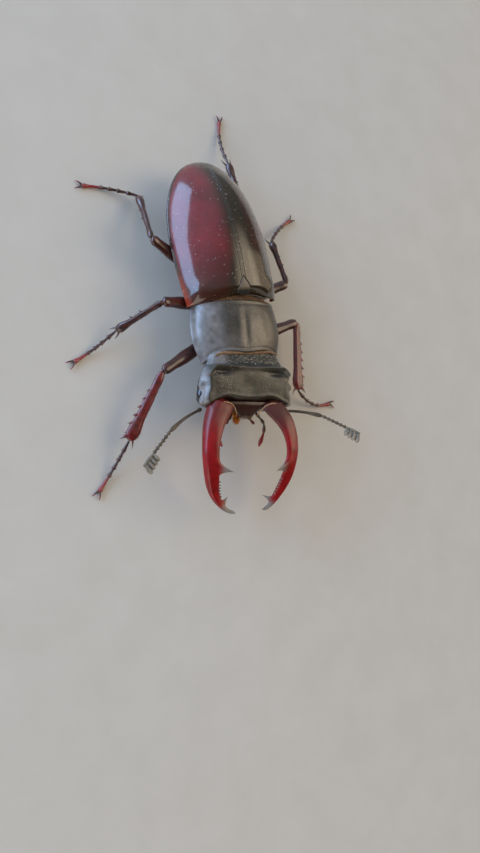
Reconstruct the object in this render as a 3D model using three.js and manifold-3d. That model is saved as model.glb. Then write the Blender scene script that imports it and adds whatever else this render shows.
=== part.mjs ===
// A male European stag beetle, life size, standing on a flat floor on its six feet.
// Millimetres, +Z up. The head points along -Y, the beetle's own left is +X, the feet stand at Z = 0.
// The thorax frame has its origin on the floor under the middle of the pronotum's hind margin.
// The abdomen and the head turn a little about their joints with the thorax, as a walking beetle bends.
// At the end the whole beetle is moved so that the origin is the bottom centre of its box.

import * as THREE from "three";
import { mergeVertices } from "three/addons/utils/BufferGeometryUtils.js";
import Module from "manifold-3d";

const wasm = await Module();
wasm.setup();
const { Manifold, Mesh: SolidMesh } = wasm;

// ---------------------------------------------------------------- driving dimensions

const GAP = 0.25; // clearance that each piece keeps from its neighbour
const MARGIN_Z = 7.8; // height of the elytra's side margins over the floor

const ELYTRA = { start: 0.45, length: 30.05, halfWidth: 10.4, height: 6.7, wall: 0.8, edge: 0.7 };
const BELLY = { depth: 4.7, start: 0.6, split: 11.6, splitGap: 0.3 };
const PRONOTUM = {
  length: 10.1,
  halfWidth: 9.9,
  frontHalfWidth: 8.3,
  height: 4.85,
  depth: 3.9,
  corner: 1.7, // how far the front corners reach ahead of the middle
};
const SCUTELLUM = { front: 1.7, length: 3.2, halfWidth: 1.9, thickness: 1.0, rise: 0.1 };
const HEAD = { start: 1.3, length: 9.6, halfWidth: 10.5, depth: 5.2, edge: 7.9 };
const MANDIBLE = { length: 20.85, reach: 10.5, tilt: 30, rootZ: 9.75, start: 9.85 };
const FOOT = { axisZ: 0.3, radius: 0.4, claw: 1.3 }; // the last joint of a foot lies along the floor

const ABDOMEN_YAW = 4.85; // degrees, the tail towards the beetle's right
const ABDOMEN_PITCH = -1.8; // degrees, the tail down
const HEAD_YAW = -3.8; // degrees, the jaws towards the beetle's right
const HEAD_PITCH = 1.0; // degrees, the jaws down

// Segment lengths of each pair of legs, with the hip where the femur leaves the coxa.
const LEG_PAIRS = {
  foreleg: { femur: 13.8, tibia: 14.8, tarsus: 11.2, hip: [4.4, -6.3, 4.0], frame: "thorax" },
  midleg: { femur: 12.4, tibia: 10.8, tarsus: 10.4, hip: [4.4, 2.0, 3.7], frame: "abdomen" },
  hindleg: { femur: 12.9, tibia: 12.4, tarsus: 11.6, hip: [4.4, 9.0, 3.6], frame: "abdomen" },
};
// The stance: [heading, rise] in degrees of femur and tibia, heading and sideways bow of the tarsus.
// A heading is counted from +X towards +Y, and a bow in millimetres towards the tarsus's own left.
const STANCE = {
  foreleg_right: { femur: [-151.7, 9.3], tibia: [-120.1, -11.9], tarsus: [-124.1, 0.3] },
  midleg_right: { femur: [-174.2, 24.5], tibia: [-152.0, -37.2], tarsus: [-146.5, 0.3] },
  hindleg_right: { femur: [156.6, 21.0], tibia: [84.2, -27.3], tarsus: [170.3, -0.6] },
  foreleg_left: { femur: [16.6, 3.1], tibia: [-94.4, -5.0], tarsus: [-15.0, -1.4] },
  midleg_left: { femur: [17.6, 9.0], tibia: [93.4, -15.0], tarsus: [39.6, 0.4] },
  hindleg_left: { femur: [67.6, 4.5], tibia: [99.0, -5.5], tarsus: [84.7, 0.5] },
};
const ANTENNAE = {
  right: { scape: [-153.1, 12.5], flagellum: [-134.6, -2.0], lamellae: 1 },
  left: { scape: [-16.0, 30.0], flagellum: [-35.7, 21.5], lamellae: -1 },
};
const SCAPE_LENGTH = 9.2;
const FUNICLE = { length: 5.3, joints: 6 };
const CLUB = { length: 3.3, lamellae: 4, reach: 2.0, thickness: 0.7 };

// ---------------------------------------------------------------- materials

const chitin = (color, roughness) => new THREE.MeshStandardMaterial({ color, roughness, metalness: 0 });
const MATERIALS = {
  elytron: chitin(0x4a1a1c, 0.22),
  thorax: chitin(0x1f1d1a, 0.38),
  head: chitin(0x22201c, 0.45),
  underside: chitin(0x1c1410, 0.4),
  mandible: chitin(0x8e1519, 0.25),
  leg: chitin(0x2c0f10, 0.3),
  tarsus: chitin(0x3a1414, 0.35),
  antenna: chitin(0x2a1a18, 0.45),
  club: chitin(0x5d5350, 0.7),
  eye: chitin(0x0d0b0a, 0.15),
  brush: chitin(0xc9872f, 0.8),
};

// ---------------------------------------------------------------- solid helpers

const radians = THREE.MathUtils.degToRad;
const clamp01 = (value) => THREE.MathUtils.clamp(value, 0, 1);

function solidFrom(positions, triangles) {
  const geometry = new THREE.BufferGeometry();
  geometry.setAttribute("position", new THREE.Float32BufferAttribute(positions, 3));
  geometry.setIndex(triangles);
  const merged = mergeVertices(geometry, 1e-4);
  const solid = new Manifold(
    new SolidMesh({
      numProp: 3,
      vertProperties: merged.attributes.position.array,
      triVerts: new Uint32Array(merged.index.array),
    }),
  );
  return solid;
}

// Joins rings of points, each a list of [x, y, z] with as many points, into one closed solid.
function loft(rings) {
  const sides = rings[0].length;
  const positions = rings.flat(2);
  const triangles = [];
  for (let i = 0; i < rings.length - 1; i += 1) {
    for (let j = 0; j < sides; j += 1) {
      const a = i * sides + j;
      const b = i * sides + ((j + 1) % sides);
      triangles.push(a, b, b + sides, a, b + sides, a + sides);
    }
  }
  for (const [ring, flip] of [[0, true], [rings.length - 1, false]]) {
    const centre = positions.length / 3;
    for (const axis of [0, 1, 2]) {
      positions.push(rings[ring].reduce((sum, point) => sum + point[axis], 0) / sides);
    }
    for (let j = 0; j < sides; j += 1) {
      const a = ring * sides + j;
      const b = ring * sides + ((j + 1) % sides);
      triangles.push(...(flip ? [centre, b, a] : [centre, a, b]));
    }
  }
  const signed = volumeOf(positions, triangles);
  if (signed < 0) {
    for (let k = 0; k < triangles.length; k += 3) {
      [triangles[k + 1], triangles[k + 2]] = [triangles[k + 2], triangles[k + 1]];
    }
  }
  return solidFrom(positions, triangles);
}

function volumeOf(positions, triangles) {
  const corner = (k) => new THREE.Vector3().fromArray(positions, 3 * k);
  let volume = 0;
  for (let k = 0; k < triangles.length; k += 3) {
    const [a, b, c] = [corner(triangles[k]), corner(triangles[k + 1]), corner(triangles[k + 2])];
    volume += a.dot(b.cross(c)) / 6;
  }
  return volume;
}

// Carries an oval along a path. Each station is [share of the path, half width, half height, turn].
function sweep(path, stations, sides = 8, up = new THREE.Vector3(0, 0, 1)) {
  const step = 0.01;
  const rings = stations.map(([t, halfWidth, halfHeight, turn = 0]) => {
    const ahead = path(Math.min(1, t + step));
    const tangent = ahead.sub(path(Math.max(0, t - step))).normalize();
    const side = new THREE.Vector3().crossVectors(tangent, up).normalize();
    const top = new THREE.Vector3().crossVectors(side, tangent);
    side.applyAxisAngle(tangent, radians(turn));
    top.applyAxisAngle(tangent, radians(turn));
    const centre = path(t);
    return Array.from({ length: sides }, (_, j) => {
      const angle = ((j + 0.5) / sides) * 2 * Math.PI;
      return centre
        .clone()
        .addScaledVector(side, halfWidth * Math.cos(angle))
        .addScaledVector(top, halfHeight * Math.sin(angle))
        .toArray();
    });
  });
  return loft(rings);
}

const straight = (length) => (t) => new THREE.Vector3(t * length, 0, 0);

function curve(points) {
  const spline = new THREE.CatmullRomCurve3(points.map((point) => new THREE.Vector3(...point)));
  return (t) => spline.getPoint(t);
}

// The solid of a closed three.js geometry.
function solidOf(geometry) {
  geometry.deleteAttribute("normal");
  geometry.deleteAttribute("uv");
  const merged = mergeVertices(geometry, 1e-4);
  return solidFrom(Array.from(merged.attributes.position.array), Array.from(merged.index.array));
}

function slab(low, high) {
  const size = high.map((value, axis) => value - low[axis]);
  const centre = low.map((value, axis) => value + size[axis] / 2);
  return solidOf(new THREE.BoxGeometry(...size).translate(...centre));
}

const FAR = 100;
const ABOVE_FLOOR = slab([-FAR, -FAR, 0], [FAR, FAR, FAR]);

// The main piece of a cut solid, without the slivers that a cut leaves.
function largest(solid) {
  const pieces = solid.simplify(0.03).decompose();
  return pieces.reduce((best, piece) => (piece.volume() > best.volume() ? piece : best));
}

function geometryOf(solid) {
  const { numProp, vertProperties, triVerts } = solid.getMesh();
  const positions = [];
  for (let k = 0; k < vertProperties.length; k += numProp) {
    positions.push(vertProperties[k], vertProperties[k + 1], vertProperties[k + 2]);
  }
  const geometry = new THREE.BufferGeometry();
  geometry.setAttribute("position", new THREE.Float32BufferAttribute(positions, 3));
  geometry.setIndex(Array.from(triVerts));
  geometry.computeVertexNormals();
  return geometry;
}

// ---------------------------------------------------------------- frames of the body

const beetle = new THREE.Group();
const thorax = new THREE.Group();
const abdomenFrame = new THREE.Group();
const headFrame = new THREE.Group();
beetle.add(thorax, abdomenFrame, headFrame);

// Turns a frame about a pivot, first about Z by the yaw and then about X by the pitch.
function turnAbout(frame, pivot, yaw, pitch) {
  const turn = new THREE.Matrix4().makeRotationX(radians(pitch));
  turn.multiply(new THREE.Matrix4().makeRotationZ(radians(yaw)));
  frame.quaternion.setFromRotationMatrix(turn);
  frame.position.copy(pivot).sub(pivot.clone().applyMatrix4(turn));
  frame.updateMatrixWorld(true);
}
const WAIST = new THREE.Vector3(0, 0, MARGIN_Z + 1.4);
const NECK = new THREE.Vector3(0, -PRONOTUM.length - HEAD.start, MARGIN_Z + 1.4);
turnAbout(abdomenFrame, WAIST, ABDOMEN_YAW, ABDOMEN_PITCH);
turnAbout(headFrame, NECK, HEAD_YAW, HEAD_PITCH);

const cutters = {}; // slightly larger solids, in the beetle's own frame, which neighbours are cut by
const toBeetle = (solid, object) => solid.transform(object.matrixWorld.toArray());

// Adds a named mesh to a frame, after cutting the named neighbours and the floor away from it.
function place(name, solid, frame, material, neighbours = []) {
  frame.updateMatrixWorld(true);
  let whole = toBeetle(solid, frame);
  for (const neighbour of neighbours) {
    whole = whole.subtract(cutters[neighbour]);
  }
  whole = largest(whole.intersect(ABOVE_FLOOR));
  const local = whole.transform(frame.matrixWorld.clone().invert().toArray());
  const mesh = new THREE.Mesh(geometryOf(local), material);
  mesh.name = name;
  frame.add(mesh);
  return mesh;
}

// ---------------------------------------------------------------- elytra, belly and scutellum

// Half width of both elytra together at the share t of their length: broad shoulders, oval tail.
function elytraHalfWidth(t) {
  const shoulder = 0.955 + 0.045 * Math.sin((clamp01(t / 0.42) * Math.PI) / 2);
  const tail = (1 - clamp01((t - 0.42) / 0.58) ** 2.5) ** (1 / 1.75);
  return ELYTRA.halfWidth * shoulder * tail;
}

function elytraHeight(t) {
  const front = 0.86 + 0.14 * Math.sin((clamp01(t / 0.38) * Math.PI) / 2);
  const tail = (1 - clamp01((t - 0.38) / 0.62) ** 2.6) ** (1 / 1.6);
  const lip = Math.sqrt(1 - (1 - clamp01(t / 0.07)) ** 2);
  return ELYTRA.height * front * tail * (0.55 + 0.45 * lip);
}

const marginHeight = (t) => MARGIN_Z - 0.4 * t;
const power = (value, exponent) => Math.sign(value) * Math.abs(value) ** exponent;

// The dome of both elytra, less an inset, down to a drop below the margin.
function dome(inset, drop, stations, sides) {
  const rings = stations.map((t) => {
    const halfWidth = Math.max(0.15, elytraHalfWidth(t) - inset);
    const height = Math.max(0.15, elytraHeight(t) - inset);
    const y = ELYTRA.start + inset * (1 - 2 * t) + t * ELYTRA.length;
    const ring = [];
    for (let j = 0; j <= sides; j += 1) {
      const angle = (j / sides) * Math.PI;
      const across = power(Math.cos(angle), 2 / 2.25);
      const rise = Math.sin(angle) ** (2 / 2.25);
      ring.push([halfWidth * across, y, marginHeight(t) + height * rise]);
    }
    const tuck = Math.min(0.7, 0.5 * halfWidth);
    ring.push([-(halfWidth - tuck), y, marginHeight(t) - drop]);
    ring.push([halfWidth - tuck, y, marginHeight(t) - drop]);
    return ring;
  });
  return loft(rings);
}

const DOME_STATIONS = [0, 0.02, 0.07, 0.2, 0.38, 0.56, 0.7, 0.82, 0.91, 0.965, 0.995];
const DOME_SIDES = 16;

function scutellumPrism(grow, bottom, top) {
  const { front, length, halfWidth } = SCUTELLUM;
  const side = halfWidth + grow;
  const shape = new THREE.Shape();
  shape.moveTo(-side, front - grow);
  shape.lineTo(side, front - grow);
  shape.quadraticCurveTo(0.8 * side, front + 0.6 * length, 0, front + length + 1.4 * grow);
  shape.quadraticCurveTo(-0.8 * side, front + 0.6 * length, -side, front - grow);
  const options = { depth: top - bottom, bevelEnabled: false, curveSegments: 3 };
  return solidOf(new THREE.ExtrudeGeometry(shape, options).translate(0, 0, bottom));
}

function buildElytra() {
  const notch = scutellumPrism(GAP, MARGIN_Z, MARGIN_Z + 10);
  const outer = dome(0, ELYTRA.edge, DOME_STATIONS, DOME_SIDES);
  const shell = outer.subtract(bellySolid(GAP)).subtract(notch);
  const seam = GAP / 3;
  for (const [side, name] of [[-1, "elytron_right"], [1, "elytron_left"]]) {
    const half = side < 0 ? slab([-FAR, -FAR, 0], [-seam, FAR, FAR]) : slab([seam, -FAR, 0], [FAR, FAR, FAR]);
    place(name, shell.intersect(half), abdomenFrame, MATERIALS.elytron, ["prothorax"]);
  }
  const top = dome(-SCUTELLUM.rise, 1, DOME_STATIONS, DOME_SIDES);
  const under = dome(SCUTELLUM.thickness, 2, DOME_STATIONS, DOME_SIDES);
  const plate = scutellumPrism(0, MARGIN_Z, MARGIN_Z + 10).intersect(top).subtract(under);
  place("scutellum", plate, abdomenFrame, MATERIALS.thorax, ["prothorax"]);
}

// The body under the elytra: the dome's inside above, a keeled belly below.
function bellySolid(grow) {
  const stations = [0.0, 0.06, 0.3, 0.52, 0.7, 0.84, 0.93, 0.985];
  const inset = ELYTRA.wall + GAP - grow;
  const rings = stations.map((t) => {
    const halfWidth = Math.max(0.2, elytraHalfWidth(t) - inset);
    const height = Math.max(0.2, elytraHeight(t) - inset - 0.25);
    const depth = (BELLY.depth + grow) * Math.sqrt(1 - clamp01((t - 0.3) / 0.7) ** 2.4 * 0.97);
    const y = BELLY.start + 0.4 - grow + t * (ELYTRA.length - inset - BELLY.start + 2 * grow);
    const ring = [];
    for (let j = 0; j < 16; j += 1) {
      const angle = (j / 16) * 2 * Math.PI;
      const lower = Math.sin(angle) < 0;
      const across = power(Math.cos(angle), lower ? 1.35 : 2 / 2.25);
      const rise = power(Math.sin(angle), lower ? 1.15 : 2 / 2.25);
      ring.push([halfWidth * across, y, marginHeight(t) - 0.1 + (lower ? depth : height) * rise]);
    }
    return ring;
  });
  return loft(rings);
}

const HIND_PAIRS = ["midleg_right", "midleg_left", "hindleg_right", "hindleg_left"];
const coxaeOf = (legs) => legs.flatMap((leg) => [`${leg}_coxa`, `${leg}_femur`]);

function buildBelly() {
  const whole = bellySolid(0).subtract(scutellumPrism(0.4, MARGIN_Z, MARGIN_Z + 10));
  const front = slab([-FAR, -FAR, 0], [FAR, BELLY.split - BELLY.splitGap / 2, FAR]);
  const rear = slab([-FAR, BELLY.split + BELLY.splitGap / 2, 0], [FAR, FAR, FAR]);
  const cuts = coxaeOf(HIND_PAIRS);
  place("pterothorax", whole.intersect(front), abdomenFrame, MATERIALS.underside, ["prothorax", ...cuts]);
  place("abdomen", whole.intersect(rear), abdomenFrame, MATERIALS.underside, cuts);
}

// ---------------------------------------------------------------- prothorax

// Half width of the pronotum at the share s of its length, from the hind margin to the front.
function pronotumHalfWidth(s) {
  const { halfWidth, frontHalfWidth } = PRONOTUM;
  const hind = 0.93 * halfWidth;
  const rearPart = hind + (halfWidth - hind) * Math.sin((clamp01(s / 0.45) * Math.PI) / 2);
  const frontPart = (halfWidth - frontHalfWidth) * clamp01((s - 0.5) / 0.5) ** 1.6;
  return rearPart - frontPart;
}

const pronotumHeight = (s) => PRONOTUM.height * (0.9 + 0.1 * Math.sin(s * Math.PI)) * (1 - 0.1 * s);
const PRONOTUM_MARGIN_Z = MARGIN_Z - 0.2;

// The front margin is hollow, so its corners reach forward beside the neck.
function frontMargin(x) {
  const outward = clamp01(Math.abs(x) / PRONOTUM.frontHalfWidth);
  return PRONOTUM.length + PRONOTUM.corner * outward ** 6;
}

function prothoraxSolid(grow) {
  const stations = [0, 0.07, 0.24, 0.45, 0.66, 0.86, 0.96, 1];
  const rings = stations.map((s) => {
    const rounding = s === 0 || s === 1 ? 0.35 : 0;
    const halfWidth = pronotumHalfWidth(s) + grow - rounding;
    const height = pronotumHeight(s) + grow - rounding;
    const depth = (PRONOTUM.depth + grow) * (1 - 0.25 * Math.abs(2 * s - 1) ** 2);
    const ring = [];
    for (let j = 0; j < 20; j += 1) {
      const angle = (j / 20) * 2 * Math.PI;
      const lower = Math.sin(angle) < 0;
      const x = halfWidth * power(Math.cos(angle), lower ? 1.2 : 2 / 2.1);
      const rise = power(Math.sin(angle), lower ? 1.05 : 2 / 2.1);
      const y = grow - s * (frontMargin(x) + 2 * grow);
      ring.push([x, y, PRONOTUM_MARGIN_Z + (lower ? depth : height) * rise]);
    }
    return ring;
  });
  return loft(rings);
}

function buildProthorax() {
  cutters.prothorax = prothoraxSolid(GAP);
  const cuts = coxaeOf(["foreleg_right", "foreleg_left", ...HIND_PAIRS]);
  place("prothorax", prothoraxSolid(0), thorax, MATERIALS.thorax, cuts);
}

// ---------------------------------------------------------------- head

const headFront = NECK.y; // the head's forward distances u are counted from here, along -Y
const headPoint = (x, u, z) => [x, headFront - u, z];

// Reads a value at u from a list of [u, value] pairs.
function between(table, u) {
  const next = table.findIndex(([at]) => at >= u);
  if (next <= 0) {
    return next === 0 ? table[0][1] : table[table.length - 1][1];
  }
  const [[u0, v0], [u1, v1]] = [table[next - 1], table[next]];
  return v0 + ((v1 - v0) * (u - u0)) / (u1 - u0);
}

// Half width of the head at its cheeks and at the edge of its flat top, by the distance ahead.
const CHEEK = [
  [-1, 7.4],
  [0, 8.0],
  [1.3, 8.6],
  [2.6, 9.3],
  [5.4, 10.2],
  [7.2, 10.5],
  [9.0, 10.2],
  [9.6, 9.0],
];
const DISC = [
  [-1, 6.4],
  [0, 7.2],
  [1.2, 8.0],
  [2.1, 8.6],
  [4, 9.0],
  [6.5, 8.9],
  [8.2, 9.3],
  [9.6, 8.6],
];

// Height of the head's top: rough nape, raised crest bending forward at its ends, disc, lowered front.
function headTop(x, u) {
  const side = Math.abs(x);
  const crest = 2.1 + 0.7 * Math.max(0, side - 8) ** 1.5;
  const nape = 11.2 + 0.2 * Math.min(u, 2) - 0.006 * side ** 2;
  const slope = 12.25 - 0.17 * Math.max(0, u - crest) - 0.012 * Math.max(0, u - 5) ** 2;
  const climb = clamp01((u - crest + 0.8) / 0.8);
  const ridge = (0.15 + 0.055 * side) * Math.exp(-(((u - crest) / 0.7) ** 2));
  const edge = HEAD.edge + 0.35 * Math.max(0, side - 5.5);
  const drop = side < 8.7 ? 1.5 * clamp01((u - edge) / 0.6) : 0;
  return nape + (slope - nape) * climb + ridge - drop;
}

function headSolid(grow) {
  const stations = [-1, 0.6, 2.1, 2.9, 4.2, 6.0, 7.8, 8.5, 9.1, HEAD.length];
  const shares = [0, 0.3, 0.6, 0.86, 1];
  const rings = stations.map((u) => {
    const disc = between(DISC, u);
    const cheek = between(CHEEK, u);
    const cheekZ = 9.6 - 0.05 * u;
    const depth = HEAD.depth * (0.78 + 0.22 * Math.sin((clamp01(u / 6) * Math.PI) / 2));
    const y = headFront - u + (u < 0 ? grow : 0) - (u === HEAD.length ? grow : 0);
    const half = shares.map((share) => [share * (disc + grow), headTop(share * disc, u) + grow]);
    half.push([0.4 * disc + 0.6 * cheek + grow, cheekZ + 0.45 * (headTop(disc, u) - cheekZ)]);
    half.push([cheek + grow, cheekZ]);
    half.push([0.88 * cheek + grow, cheekZ - 0.45 * depth]);
    half.push([0.55 * cheek, cheekZ - 0.88 * depth - grow]);
    const other = half.slice(1).reverse();
    const ring = half.map(([x, z]) => [x, y, z]);
    ring.push([0, y, cheekZ - depth - grow]);
    ring.push(...other.map(([x, z]) => [-x, y, z]));
    return ring;
  });
  return loft(rings);
}

function ball(centre, radii, sides = 10) {
  const geometry = new THREE.SphereGeometry(1, sides, 7);
  return solidOf(geometry.scale(...radii).translate(...centre));
}

const EYE = { centre: [9.45, 7.2, 9.0], radii: [1.15, 1.45, 1.0] };

function buildHead() {
  const [out, ahead, z] = EYE.centre;
  cutters.head = toBeetle(headSolid(GAP), headFrame);
  let skull = headSolid(0);
  for (const [side, name] of [[-1, "eye_right"], [1, "eye_left"]]) {
    const socket = ball(headPoint(side * out, ahead, z), EYE.radii.map((radius) => radius + GAP));
    skull = skull.subtract(socket);
    place(name, ball(headPoint(side * out, ahead, z), EYE.radii), headFrame, MATERIALS.eye);
  }
  place("head", skull, headFrame, MATERIALS.head, ["prothorax", "mandibles"]);
}

// ---------------------------------------------------------------- mandibles and mouthparts

// The mandible from root to tip: share of its length ahead, distance out as a share of its reach,
// rise over the root, half width and half thickness.
const MANDIBLE_ROWS = [
  [0.0, 0.6, 0.4, 2.6, 2.0],
  [0.12, 0.745, 0.9, 2.2, 1.75],
  [0.27, 0.847, 1.1, 1.87, 1.2],
  [0.42, 0.88, 0.9, 1.66, 0.95],
  [0.56, 0.853, 0.26, 1.58, 0.88],
  [0.68, 0.799, -0.85, 1.36, 0.9],
  [0.79, 0.711, -2.0, 1.0, 0.85],
  [0.89, 0.569, -2.6, 0.64, 0.64],
  [0.96, 0.41, -2.75, 0.42, 0.42],
  [1.0, 0.28, -2.65, 0.26, 0.26],
];

function mandiblePoint(side, out, ahead, rise) {
  const { reach, length, start, rootZ } = MANDIBLE;
  return headPoint(side * out * reach, start + ahead * length, rootZ + rise);
}

// A pointed tooth that grows from a root to a tip, curving by the bend on the way.
function tooth(root, tip, radius, flat = 0.75, bend = [0, 0, 0], sides = 5) {
  const middle = root.map((value, axis) => (value + tip[axis]) / 2 + bend[axis]);
  const stations = [[0, radius, flat * radius], [0.5, 0.6 * radius, 0.5 * flat * radius], [1, 0.1, 0.1]];
  return sweep(curve([root, middle, tip]), stations, sides);
}

function mandibleSolid(side, grow) {
  const last = MANDIBLE_ROWS.length - 1;
  const path = curve(MANDIBLE_ROWS.map(([ahead, out, rise]) => mandiblePoint(side, out, ahead, rise)));
  const turn = -side * MANDIBLE.tilt;
  const stations = MANDIBLE_ROWS.map((row, k) => [k / last, row[3] + grow, row[4] + grow, turn]);
  let solid = sweep(path, stations, 10);
  if (grow > 0) {
    return solid;
  }
  const greatTooth = [headPoint(side * 7.9, 21.1, 10.5), headPoint(side * 4.7, 22.6, 11.4)];
  const innerTine = [headPoint(side * 6.9, 26.4, 7.5), headPoint(side * 3.8, 26.8, 6.6)];
  solid = solid.add(tooth(...greatTooth, 1.5, 0.55, [0, 0.3, 0]));
  solid = solid.add(tooth(...innerTine, 0.75, 0.8));
  for (const share of [0.58, 0.62, 0.66, 0.7]) {
    const middle = path(share);
    const root = [middle.x - side * 0.9, middle.y, middle.z + 0.45];
    const tip = [middle.x - side * 1.75, middle.y - 0.15, middle.z + 0.75];
    solid = solid.add(tooth(root, tip, 0.38, 0.9));
  }
  return solid;
}

// The palps: points of the path as [out, forward of the head, height], then the stations.
const MAXILLARY_PALP = [[3.0, 0.9, 6.9], [5.6, 2.4, 6.4], [5.5, 4.9, 6.2], [4.2, 7.5, 6.2]];
const LABIAL_PALP = [[1.5, 0.9, 6.4], [2.3, 1.6, 6.3], [3.2, 2.9, 6.3]];
const MAXILLARY_BEADS = [
  [0, 0.3],
  [0.3, 0.42],
  [0.36, 0.3],
  [0.6, 0.42],
  [0.66, 0.29],
  [0.88, 0.46],
  [1, 0.26],
];
const LABIAL_BEADS = [
  [0, 0.28],
  [0.45, 0.36],
  [0.55, 0.28],
  [0.85, 0.38],
  [1, 0.25],
];

function palp(side, points, beads) {
  const path = curve(points.map(([x, ahead, z]) => headPoint(side * x, HEAD.length + ahead, z)));
  return sweep(path, beads.map(([t, radius]) => [t, radius, 0.9 * radius]), 7);
}

function clypeusRing(u, halfWidth, z) {
  const outline = [[-1, -0.45], [-1, 0.3], [-0.5, 0.5], [0.5, 0.5], [1, 0.3], [1, -0.45]];
  return outline.map(([across, rise]) => headPoint(across * halfWidth, u, z + rise));
}

function buildMouth() {
  const mouth = ["head", "mandibles"];
  for (const [side, name] of [[-1, "mandible_right"], [1, "mandible_left"]]) {
    place(name, mandibleSolid(side, 0), headFrame, MATERIALS.mandible, ["prothorax"]);
  }
  const front = HEAD.length;
  const rings = [[front + 0.1, 4.2, 9.7], [front + 0.9, 3.4, 9.3], [front + 1.9, 2.0, 8.7]];
  const snout = loft(rings.map((row) => clypeusRing(...row)));
  place("clypeus_labrum", snout, headFrame, MATERIALS.mandible, mouth);
  for (const [side, word] of [[-1, "right"], [1, "left"]]) {
    const lobe = ball(headPoint(side * 1.6, front + 1.7, 7.55), [0.8, 1.5, 0.65], 8);
    place(`maxilla_${word}`, lobe, headFrame, MATERIALS.brush, mouth);
    const longPalp = palp(side, MAXILLARY_PALP, MAXILLARY_BEADS);
    place(`maxillary_palp_${word}`, longPalp, headFrame, MATERIALS.antenna, mouth);
    place(`labial_palp_${word}`, palp(side, LABIAL_PALP, LABIAL_BEADS), headFrame, MATERIALS.antenna, mouth);
  }
}

// ---------------------------------------------------------------- legs

// A unit direction from a heading and a rise, both in degrees.
function direction([heading, rise]) {
  const flat = Math.cos(radians(rise));
  return new THREE.Vector3(
    flat * Math.cos(radians(heading)),
    flat * Math.sin(radians(heading)),
    Math.sin(radians(rise)),
  );
}

// A frame whose +X runs along a limb segment, with its +Z as near to upright as the segment allows.
function limbFrame(start, [heading, rise]) {
  const frame = new THREE.Group();
  frame.rotation.order = "ZYX";
  frame.rotation.set(0, -radians(rise), radians(heading));
  frame.position.copy(start);
  beetle.add(frame);
  frame.updateMatrixWorld(true);
  return frame;
}

const grown = (stations, grow) => stations.map(([t, a, b, turn]) => [t, a + grow, b + grow, turn]);

const COXA = [
  [0, 0.8, 0.7],
  [0.2, 1.45, 1.2],
  [0.6, 1.5, 1.25],
  [0.88, 1.15, 1.0],
  [1, 0.6, 0.5],
];
const FEMUR = [
  [0.02, 0.45, 0.4],
  [0.08, 0.8, 0.64],
  [0.3, 1.14, 0.8],
  [0.6, 1.16, 0.82],
  [0.92, 0.86, 0.66],
  [0.985, 0.5, 0.42],
];
// The fore tibia broadens into a digging blade. The others stay slender.
const FORE_TIBIA = [
  [0, 0.4, 0.36],
  [0.05, 0.62, 0.52],
  [0.4, 0.95, 0.56],
  [0.92, 1.28, 0.6],
  [0.99, 0.9, 0.45],
];
const SLIM_TIBIA = [
  [0, 0.36, 0.36],
  [0.05, 0.55, 0.5],
  [0.4, 0.6, 0.52],
  [0.92, 0.78, 0.6],
  [0.99, 0.55, 0.45],
];

// Teeth on a tibia's outer edge, and the spurs at its tip. The outer sign is the side of the teeth.
function tibiaTeeth(length, isFore, outer, grow) {
  const teeth = [];
  const add = (root, tip, radius) => teeth.push(tooth(root, tip, radius + grow, 0.85, [0, 0, 0], 4));
  const places = isFore ? [0.32, 0.46, 0.6, 0.75] : [0.42, 0.62];
  places.forEach((share, k) => {
    const reach = isFore ? 1.5 + 0.17 * k : 1.15;
    const root = [share * length, outer * 0.4, 0];
    add(root, [share * length + 0.4, outer * reach, 0.05], isFore ? 0.5 : 0.34);
  });
  if (isFore) {
    add([length * 0.92, outer * 0.6, 0], [length + 0.5, outer * 2.2, 0], 0.6);
  }
  add([length * 0.94, -outer * 0.5, -0.1], [length + 1.2, -outer * 1.25, -0.35], 0.32);
  return teeth;
}

function tibiaSolid(length, isFore, outer, grow) {
  const stations = isFore ? FORE_TIBIA : SLIM_TIBIA;
  let solid = sweep(straight(length), grown(stations, grow), 8);
  for (const part of tibiaTeeth(length, isFore, outer, grow)) {
    solid = solid.add(part);
  }
  return solid;
}

// Four short joints and a long last one, as shares of the foot, each narrow at its start.
const TARSOMERES = [0.2, 0.155, 0.155, 0.15, 0.34];

// The foot comes down from the ankle and lies along the floor at its end, in a frame that is level.
function tarsusSolid(length, drop, bow) {
  const path3 = new THREE.QuadraticBezierCurve3(
    new THREE.Vector3(0, 0, 0),
    new THREE.Vector3(0.55 * length, bow * 2, -drop),
    new THREE.Vector3(length, 0, -drop),
  );
  const path = (t) => path3.getPoint(t);
  const stations = [];
  let at = 0.02;
  for (const share of TARSOMERES) {
    const isLast = share === TARSOMERES[TARSOMERES.length - 1];
    const wide = isLast ? FOOT.radius : 0.36;
    stations.push([at, 0.27, 0.27], [at + share * 0.72, wide, wide]);
    at += share;
  }
  stations.push([1, 0.3, 0.3]);
  let solid = sweep(path, stations, 6);
  for (const side of [-1, 1]) {
    const claw = curve([
      [length - 0.35, side * 0.1, -drop],
      [length + 0.5 * FOOT.claw, side * 0.5, -drop + 0.1],
      [length + FOOT.claw, side * 0.75, -drop - 0.12],
    ]);
    solid = solid.add(sweep(claw, [[0, 0.26, 0.26], [0.5, 0.26, 0.26], [1, 0.16, 0.16]], 5));
  }
  return solid;
}

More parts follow.
